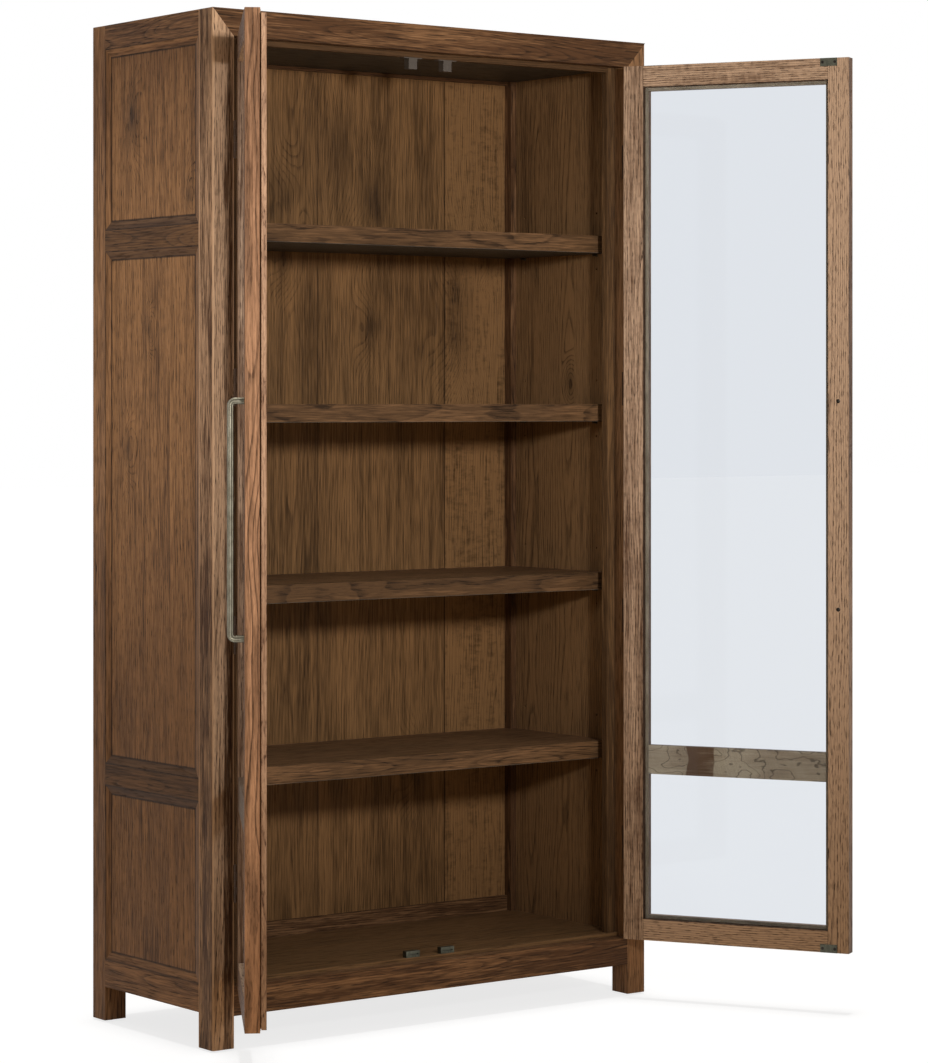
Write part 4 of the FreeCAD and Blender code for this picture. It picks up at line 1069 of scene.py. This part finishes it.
# --- Sub-assemblies ---
@dataclass
class Carcase:
    """The cabinet without its doors: posts, rails, sides, back and boards."""

    leaf_back: float = 0.122
    leaf_side: float = 0.110
    leaf_board: float = 0.130
    shelf_edges: tuple[float, ...] = (-0.35, -0.60, -0.35, -0.45)

    def dress_frame(self) -> None:
        """Finish the posts and rails."""
        # Tone of each post and rail; the rear top rail is darkened to paint the shade it stands in
        # under the top board.
        tone_shifts = {
            "front_left_post": -0.33, "front_right_post": 0.25, "rear_right_post": -0.60,
            "top_rail_front": -0.55, "bottom_rail_front": -0.40, "top_rail_rear": -1.00,
            "bottom_rail_rear": -0.40, "left_side_top_rail": -0.25
        }
        # Painted light and shade on the front left post: its front face paler, paler still above
        # 0.95 m and at its foot, where the lamps fall, and a darker strip by the hinge, the painted
        # shadow of the open left door's hinge stile.
        painted_light_and_shade = (
            Zone.skin(1, 0.0, -1, 0.0008, lift=0.55), Zone(2, 0.95, 3.0, 0.10, soft=0.14),
            Zone(2, -0.01, 0.10, 0.22, soft=0.06), Zone(0, -0.5545, -0.500, -0.62, soft=0.003)
        )
        groups = (
            ("%s_%s_post", ("front", "rear"), SIDES, Grain.ALONG_Z, 0.03),
            ("%s_rail_%s", ("top", "bottom"), ("front", "rear"), Grain.ALONG_X, 0.03),
            ("%s_side_%s_rail", SIDES, ("bottom", "top"), Grain.ALONG_Y, 0.05)
        )
        for name, firsts, seconds, grain, lean in groups:
            for node in (name % pair for pair in product(firsts, seconds)):
                traits = {"lean": lean, "pith": 0.032, "tone": tone_shifts.get(node, 0.0)}
                # The front left post takes the lit copy of the frame oak and the painted light and
                # shade.
                if node == "front_left_post":
                    LIT_POST_OAK.dress(node, grain, zones=painted_light_and_shade, **traits)
                else:
                    FRAME_OAK.dress(node, grain, **traits)

    def field_edges(self, node: str) -> tuple[Seam, ...]:
        """Find where the mouldings meet the panel.

        Args:
            node: The node of the mouldings.

        Returns:
            The lines.
        """
        lines = set()
        for points in loose_parts(node):
            centre = (points.min(0) + points.max(0)) / 2
            for axis in (1, 2):
                inset = float(np.abs(points[:, axis] - centre[axis]).min())
                lines |= {(axis, round(float(centre[axis]) + way * inset, 4)) for way in (-1, 1)}
        return tuple(Seam(axis, place) for axis, place in sorted(lines))

    def dress_sides(self) -> None:
        """Finish panels, mouldings, middle rails and linings of both sides."""
        for side, near in zip(SIDES, (1, -1)):
            knots = (
                Knot(0.083 * near, 0.831, 0.021), Knot(-0.145 * near, 0.655, 0.014, 0.7),
                Knot(0.103 * near, 0.120, 0.015, 0.7), Knot(0.013, 0.375, 0.010, 0.6)
            )
            name = side + "_side_"
            seams = self.field_edges(name + "mouldings")
            traits = {"leaf": self.leaf_side, "pith": 0.04, "knots": knots, "seams": seams}
            PANEL_OAK.dress(name + "panel", Grain.ALONG_Z, **traits)
            beside_rails = (0.496, 0.561, 1.650, 1.715)
            paint(name + "mouldings", FRAME_OAK.mitred(name + "mouldings", beside_rails, 0.019))
            for level in ("lower", "upper"):
                rail = "%s%s_mid_rail" % (name, level)
                DARK_OAK.dress(rail, Grain.ALONG_Y, lean=0.05, pith=0.03)
            # The linings are darker above 1.69 m: painted shade under the top.
            INSIDE_OAK.dress(
                name + "lining", Grain.ALONG_Z, leaf=self.leaf_board, pith=0.06, lean=0.02,
                tone=0.34, knots=(Knot(-0.016, 0.267, 0.012, 0.8),),
                zones=(Zone(1, 0.195, 0.365, 0.16), Zone(2, 1.69, 2.2, -0.20))
            )

    def dress_inside(self) -> None:
        """Finish the back, the boards, the shelves and the door stops."""
        knots = (
            Knot(0.150, 0.668, 0.030, 0.8), Knot(0.037, 0.785, 0.042, 0.45),
            Knot(-0.092, 0.668, 0.020, 0.6), Knot(-0.099, 0.538, 0.018, 0.7),
            Knot(0.135, 0.381, 0.018, 0.8), Knot(0.385, 0.474, 0.040, 0.55),
            Knot(0.385, 0.359, 0.032, 0.50), Knot(0.480, 0.547, 0.014, 0.5),
            Knot(-0.300, -0.420, 0.022, 0.6), Knot(0.260, -0.640, 0.020, 0.6)
        )
        BACK_OAK.dress(
            "back_panel", Grain.ALONG_Z, leaf=self.leaf_back, pith=0.06, lean=0.02, knots=knots,
            zones=(Zone(0, 0.352, 0.560, 0.42, 0.55), Zone(0, -0.007, 0.112, 0.06)),
            seams=(Seam(0, 0.352, 0.0030), Seam(0, -0.007, 0.0016))
        )
        # The undersides of the top board and the shelves take painted shade colours in their lip
        # zones.
        lip_colours, lying = {"lip_colours": PAINTED_UNDERSIDE_SHADE}, Grain.ALONG_X
        under = Board("top_board", lying).extent()[0][2]
        for node, lip in (("top_board", Zone.skin(2, under, -1)), ("floor_board", None)):
            traits = {"leaf": self.leaf_board, "pith": 0.07, "lean": 0.02, "tone": 0.32}
            INSIDE_OAK.dress(node, lying, lip=lip, **traits, **lip_colours)
        for index, stain in enumerate(self.shelf_edges, 1):
            node = "shelf_%d" % index
            _, front, under = Board(node, lying).extent()[0]
            marks = {
                "zones": (Zone.skin(1, front, -1, 0.0012, lift=stain),),
                "lip": Zone.skin(2, under, -1, 0.0008)
            }
            SHELF_OAK.dress(node, lying, cut=Cut.RIFT, pith=0.20, lean=0.03, **marks, **lip_colours)
        for side in SIDES:
            INSIDE_OAK.dress(side + "_door_stop", Grain.ALONG_Z, pith=0.03, tone=-0.55)
        INSIDE_OAK.dress("top_door_stop", lying, pith=0.03, tone=-1.0)

    def dress_fittings(self) -> None:
        """Finish glides, pins, catches, magnets and hinge leaves, and make the screws."""
        paint("foot_glides", BLACK_NYLON.material())
        paint("shelf_pins", STEEL.material())
        paint("top_catches", BROWN_PLASTIC.material())
        paint("floor_magnets", STEEL.material())
        for side in SIDES:
            paint(side + "_hinge_cabinet_leaves", BRONZE.material())
        Screws("cabinet_screws", "cabinet").build(BLACK_STEEL.material())

    def build(self) -> str:
        """Dress the whole carcase.

        Returns:
            A line for the log.
        """
        self.dress_frame()
        self.dress_sides()
        self.dress_inside()
        self.dress_fittings()
        return "carcase: posts, rails, sides, back and %d shelves" % len(self.shelf_edges)


@dataclass
class Door:
    """One framed glass door with its pull and fittings."""

    side: str
    browner_length: tuple[float, float]
    lip: float = 0.008
    rabbet: float = 0.0016
    skin: float = 0.0012

    def member(self, part: str, grain: Grain, axis: int, swing: Swing) -> Board:
        """Describe one member of the door's frame.

        Args:
            part: The member.
            grain: Direction of its fibres.
            axis: Cabinet axis that runs across the member.
            swing: The door's swing.

        Returns:
            The member: rabbet darkened by stain and painted shade, veneered lip, inner face paler
                with painted light, outer face darker with painted shade.
        """
        node, upright = "%s_door_%s" % (self.side, part), axis == 0
        low, high = Board(node, grain, swing=swing).extent()
        pane = Board(self.side + "_door_glass", grain, swing=swing).extent()
        toward = 1 if pane[0][axis] + pane[1][axis] > low[axis] + high[axis] else -1
        edge = high[axis] if toward > 0 else low[axis]
        seat = high[1] - pane[0][1] + 0.0006
        meeting = part == "meeting_stile"
        figured = meeting and self.side == "left"
        tone_shifts = {"hinge_stile": -0.42, "meeting_stile": 0.50, "bottom_rail": 0.55}
        tone = -0.08 if figured else tone_shifts.get(part, -0.12)
        # Inner face paler, painted light, and outer face darker, painted shade, from how the lamps
        # fall on the open doors.
        zones = [
            Zone.skin(1, high[1], 1, lift=0.45, ripple=0.12 if upright else 0.3),
            Zone.skin(1, low[1], -1, lift=-0.35 if upright else -0.8 - tone)
        ]
        if figured:
            free = Zone.skin(0, high[0], 1, self.skin)
            zones.append(Zone(2, 1.27, 3.0, -0.32, soft=0.12, part=free))
            zones.append(Zone(2, -1.0, 0.60, 0.38, soft=0.14, part=free))
        elif meeting:
            # The right meeting stile's free edge is darkened: painted shade, as the lamps do not
            # reach it.
            zones.append(Zone.skin(0, low[0], -1, self.skin, lift=-0.9))
        behind = Zone.skin(1, high[1], 1, seat)
        arched = {"cut": Cut.FLAT, "sway": 0.030, "ring": 1.3, "figure": 1.7}
        traits = arched if figured else {"cut": Cut.RIFT, "sway": 0.006}
        return Board(
            node, grain, swing=swing, pith=0.02 if upright else 0.06, lean=0.01, tone=tone,
            # The seam darkens the rabbet wall: dark stain and painted shade in the rabbet.
            zones=tuple(zones), seams=(Seam(axis, edge - toward * self.lip, self.rabbet),),
            lip=Zone.skin(axis, edge, toward, self.lip - self.skin, part=behind), **traits
        )

    def build(self) -> str:
        """Dress the door.

        Returns:
            A line for the log.
        """
        swing = Swing.of_joint(self.side + "_door_hinge")
        name = self.side + "_door_"
        members = {
            "hinge_stile": (Grain.ALONG_Z, 0), "meeting_stile": (Grain.ALONG_Z, 0),
            "top_rail": (Grain.ALONG_X, 2), "bottom_rail": (Grain.ALONG_X, 2)
        }
        for part, (grain, axis) in members.items():
            member = self.member(part, grain, axis, swing)
            finish = STILE_OAK if member.cut is Cut.FLAT else DOOR_OAK
            paint(member.node, finish.material(member))
        bar = Board(name + "cross_bar", Grain.ALONG_X, swing=swing)
        paint(bar.node, BAR_BURL.material(bar, self.browner_length))
        paint(name + "glass", GLASS.material())
        paint(name + "strikes", STEEL.material())
        paint(self.side + "_hinge_door_leaves", BRONZE.material())
        if self.side == "left":
            STRIP_OAK.dress("astragal", Grain.ALONG_Z, cut=Cut.RIFT, swing=swing, pith=0.20)
        Screws(name + "screws", self.side + "_door").build(BLACK_STEEL.material())
        Pull(self.side, swing).build(PEWTER.material())
        return "%s door: open by %.1f degrees" % (self.side, abs(math.degrees(swing.angle)))


# --- Studio ---
@dataclass
class Studio:
    """Pale floor, white surround, lamps and camera."""

    key_power: float = 600.0
    fill_power: float = 155.0
    top_power: float = 1.7
    ambient: float = 0.3
    floor_size: float = 40.0
    floor_glow: float = 0.775
    floor_tone: float = 0.30
    focal_pixels: float = 3329.6
    image_height: float = 1063.0
    horizon: float = 403.33
    heading: float = 36.98
    station: Point = (-4.29956, -5.79847, 1.34093)

    def seen_directly(self, tree: Tree) -> Shade:
        """Tell what the camera sees, also in a mirror or through clear glass.

        Args:
            tree: The tree that asks.

        Returns:
            1 for such rays, otherwise 0.
        """
        seen = tree.add("ShaderNodeLightPath", output="Is Camera Ray")
        for name in ("Is Glossy Ray", "Is Transmission Ray"):
            seen = seen.math("MAXIMUM", tree.add("ShaderNodeLightPath", output=name))
        return seen

    def surround(self) -> None:
        """White surround that lights the object only softly."""
        world = bpy.data.worlds.new("studio")
        bpy.context.scene.world = world
        world.use_nodes = True
        world.node_tree.nodes.clear()
        tree = Tree(world.node_tree)
        soft = {"Color": (1.0, 0.95, 0.86, 1.0), "Strength": self.ambient}
        white = {"Color": (1.0, 1.0, 1.0, 1.0), "Strength": 1.0}
        skies = (tree.add("ShaderNodeBackground", sky) for sky in (soft, white))
        shares = dict(enumerate((self.seen_directly(tree), *skies)))
        mixed = tree.add("ShaderNodeMixShader", shares)
        tree.add("ShaderNodeOutputWorld", {"Surface": mixed})

    def floor(self) -> None:
        """Pale floor that is white except where the object shades it."""
        mesh = bpy.data.meshes.new("floor")
        work = bmesh.new()
        bmesh.ops.create_grid(work, x_segments=2, y_segments=2, size=self.floor_size)
        work.to_mesh(mesh)
        work.free()
        tree = Surface("studio_floor")
        paper = tree.noise(tree.place(), Pattern(3, 3), (0.0, 0.0, 0.0))
        greys = [(self.floor_tone * share,) * 3 for share in (1.0, 1.02)]
        tone = tree.blend((paper * 0.02 + 0.5).held(), *greys)
        shaded = tree.add("ShaderNodeBsdfDiffuse", {"Color": tone})
        glow = tree.add("ShaderNodeEmission", {"Strength": self.floor_glow})
        seen = tree.add("ShaderNodeAddShader", {0: shaded, 1: glow})
        bounce = tree.add("ShaderNodeBsdfDiffuse", {"Color": (0.72, 0.52, 0.31, 1.0)})
        shares = {0: self.seen_directly(tree), 1: bounce, 2: seen}
        mixed = tree.add("ShaderNodeMixShader", shares)
        tree.add("ShaderNodeOutputMaterial", {"Surface": mixed})
        mesh.materials.append(tree.material)
        stand("floor", mesh)

    def lamp(self, name: str, kind: str, place: Point, target: Point, power: float) -> Object:
        """Set up one lamp.

        Args:
            name: Its name.
            kind: Its type.
            place: Where it stands.
            target: What it points at.
            power: Its power.

        Returns:
            The lamp, for its further settings.
        """
        data = bpy.data.lights.new(name, kind)
        data.energy = power
        lamp = stand(name, data)
        lamp.location = place
        lamp.rotation_euler = (Vector(target) - Vector(place)).to_track_quat("-Z", "Y").to_euler()
        lamp.visible_camera = False
        return lamp

    def light(self) -> None:
        """Two soft spots, from the front and from the left, and a faint sun above."""
        key = self.lamp("key", "SPOT", (-1.35, -4.15, 2.03), (-0.10, 0.1, 1.75), self.key_power)
        fill = self.lamp("side", "SPOT", (-3.3, -0.6, 1.75), (-0.58, 0.25, 1.50), self.fill_power)
        fill.visible_glossy = False
        for spot, radius, angle, blend in ((key, 0.22, 52.0, 1.0), (fill, 0.25, 25.0, 0.5)):
            spot.data.shadow_soft_size = radius
            spot.data.spot_size = math.radians(angle)
            spot.data.spot_blend = blend
        top = self.lamp("above", "SUN", (0.0, 0.0, 5.0), (0.0, 0.0, 0.0), self.top_power)
        top.data.angle = math.radians(4.0)

    def camera(self) -> None:
        """Level camera to the front left of the cabinet."""
        data = bpy.data.cameras.new("camera")
        data.sensor_width = 36.0
        data.lens = self.focal_pixels * data.sensor_width / self.image_height
        data.shift_y = (self.horizon - self.image_height / 2) / self.image_height
        data.clip_start, data.clip_end = 0.1, 200.0
        camera = stand("camera", data)
        camera.location = self.station
        camera.rotation_euler = (math.radians(90.0), 0.0, -math.radians(self.heading))
        bpy.context.scene.camera = camera

    def build(self) -> str:
        """Set up the whole studio.

        Returns:
            A line for the log.
        """
        self.surround()
        self.floor()
        self.light()
        self.camera()
        bpy.context.scene.view_settings.view_transform = "Standard"
        return "studio: floor, three lamps and camera"


def main() -> None:
    """Dress the cabinet and its doors, then set up the studio."""
    logging.basicConfig(level=logging.INFO, format="%(message)s")
    for part in (Carcase(), Door("left", (0.10, 0.30)), Door("right", (0.055, 0.118)), Studio()):
        LOG.info(part.build())


if __name__ == "__main__":
    main()
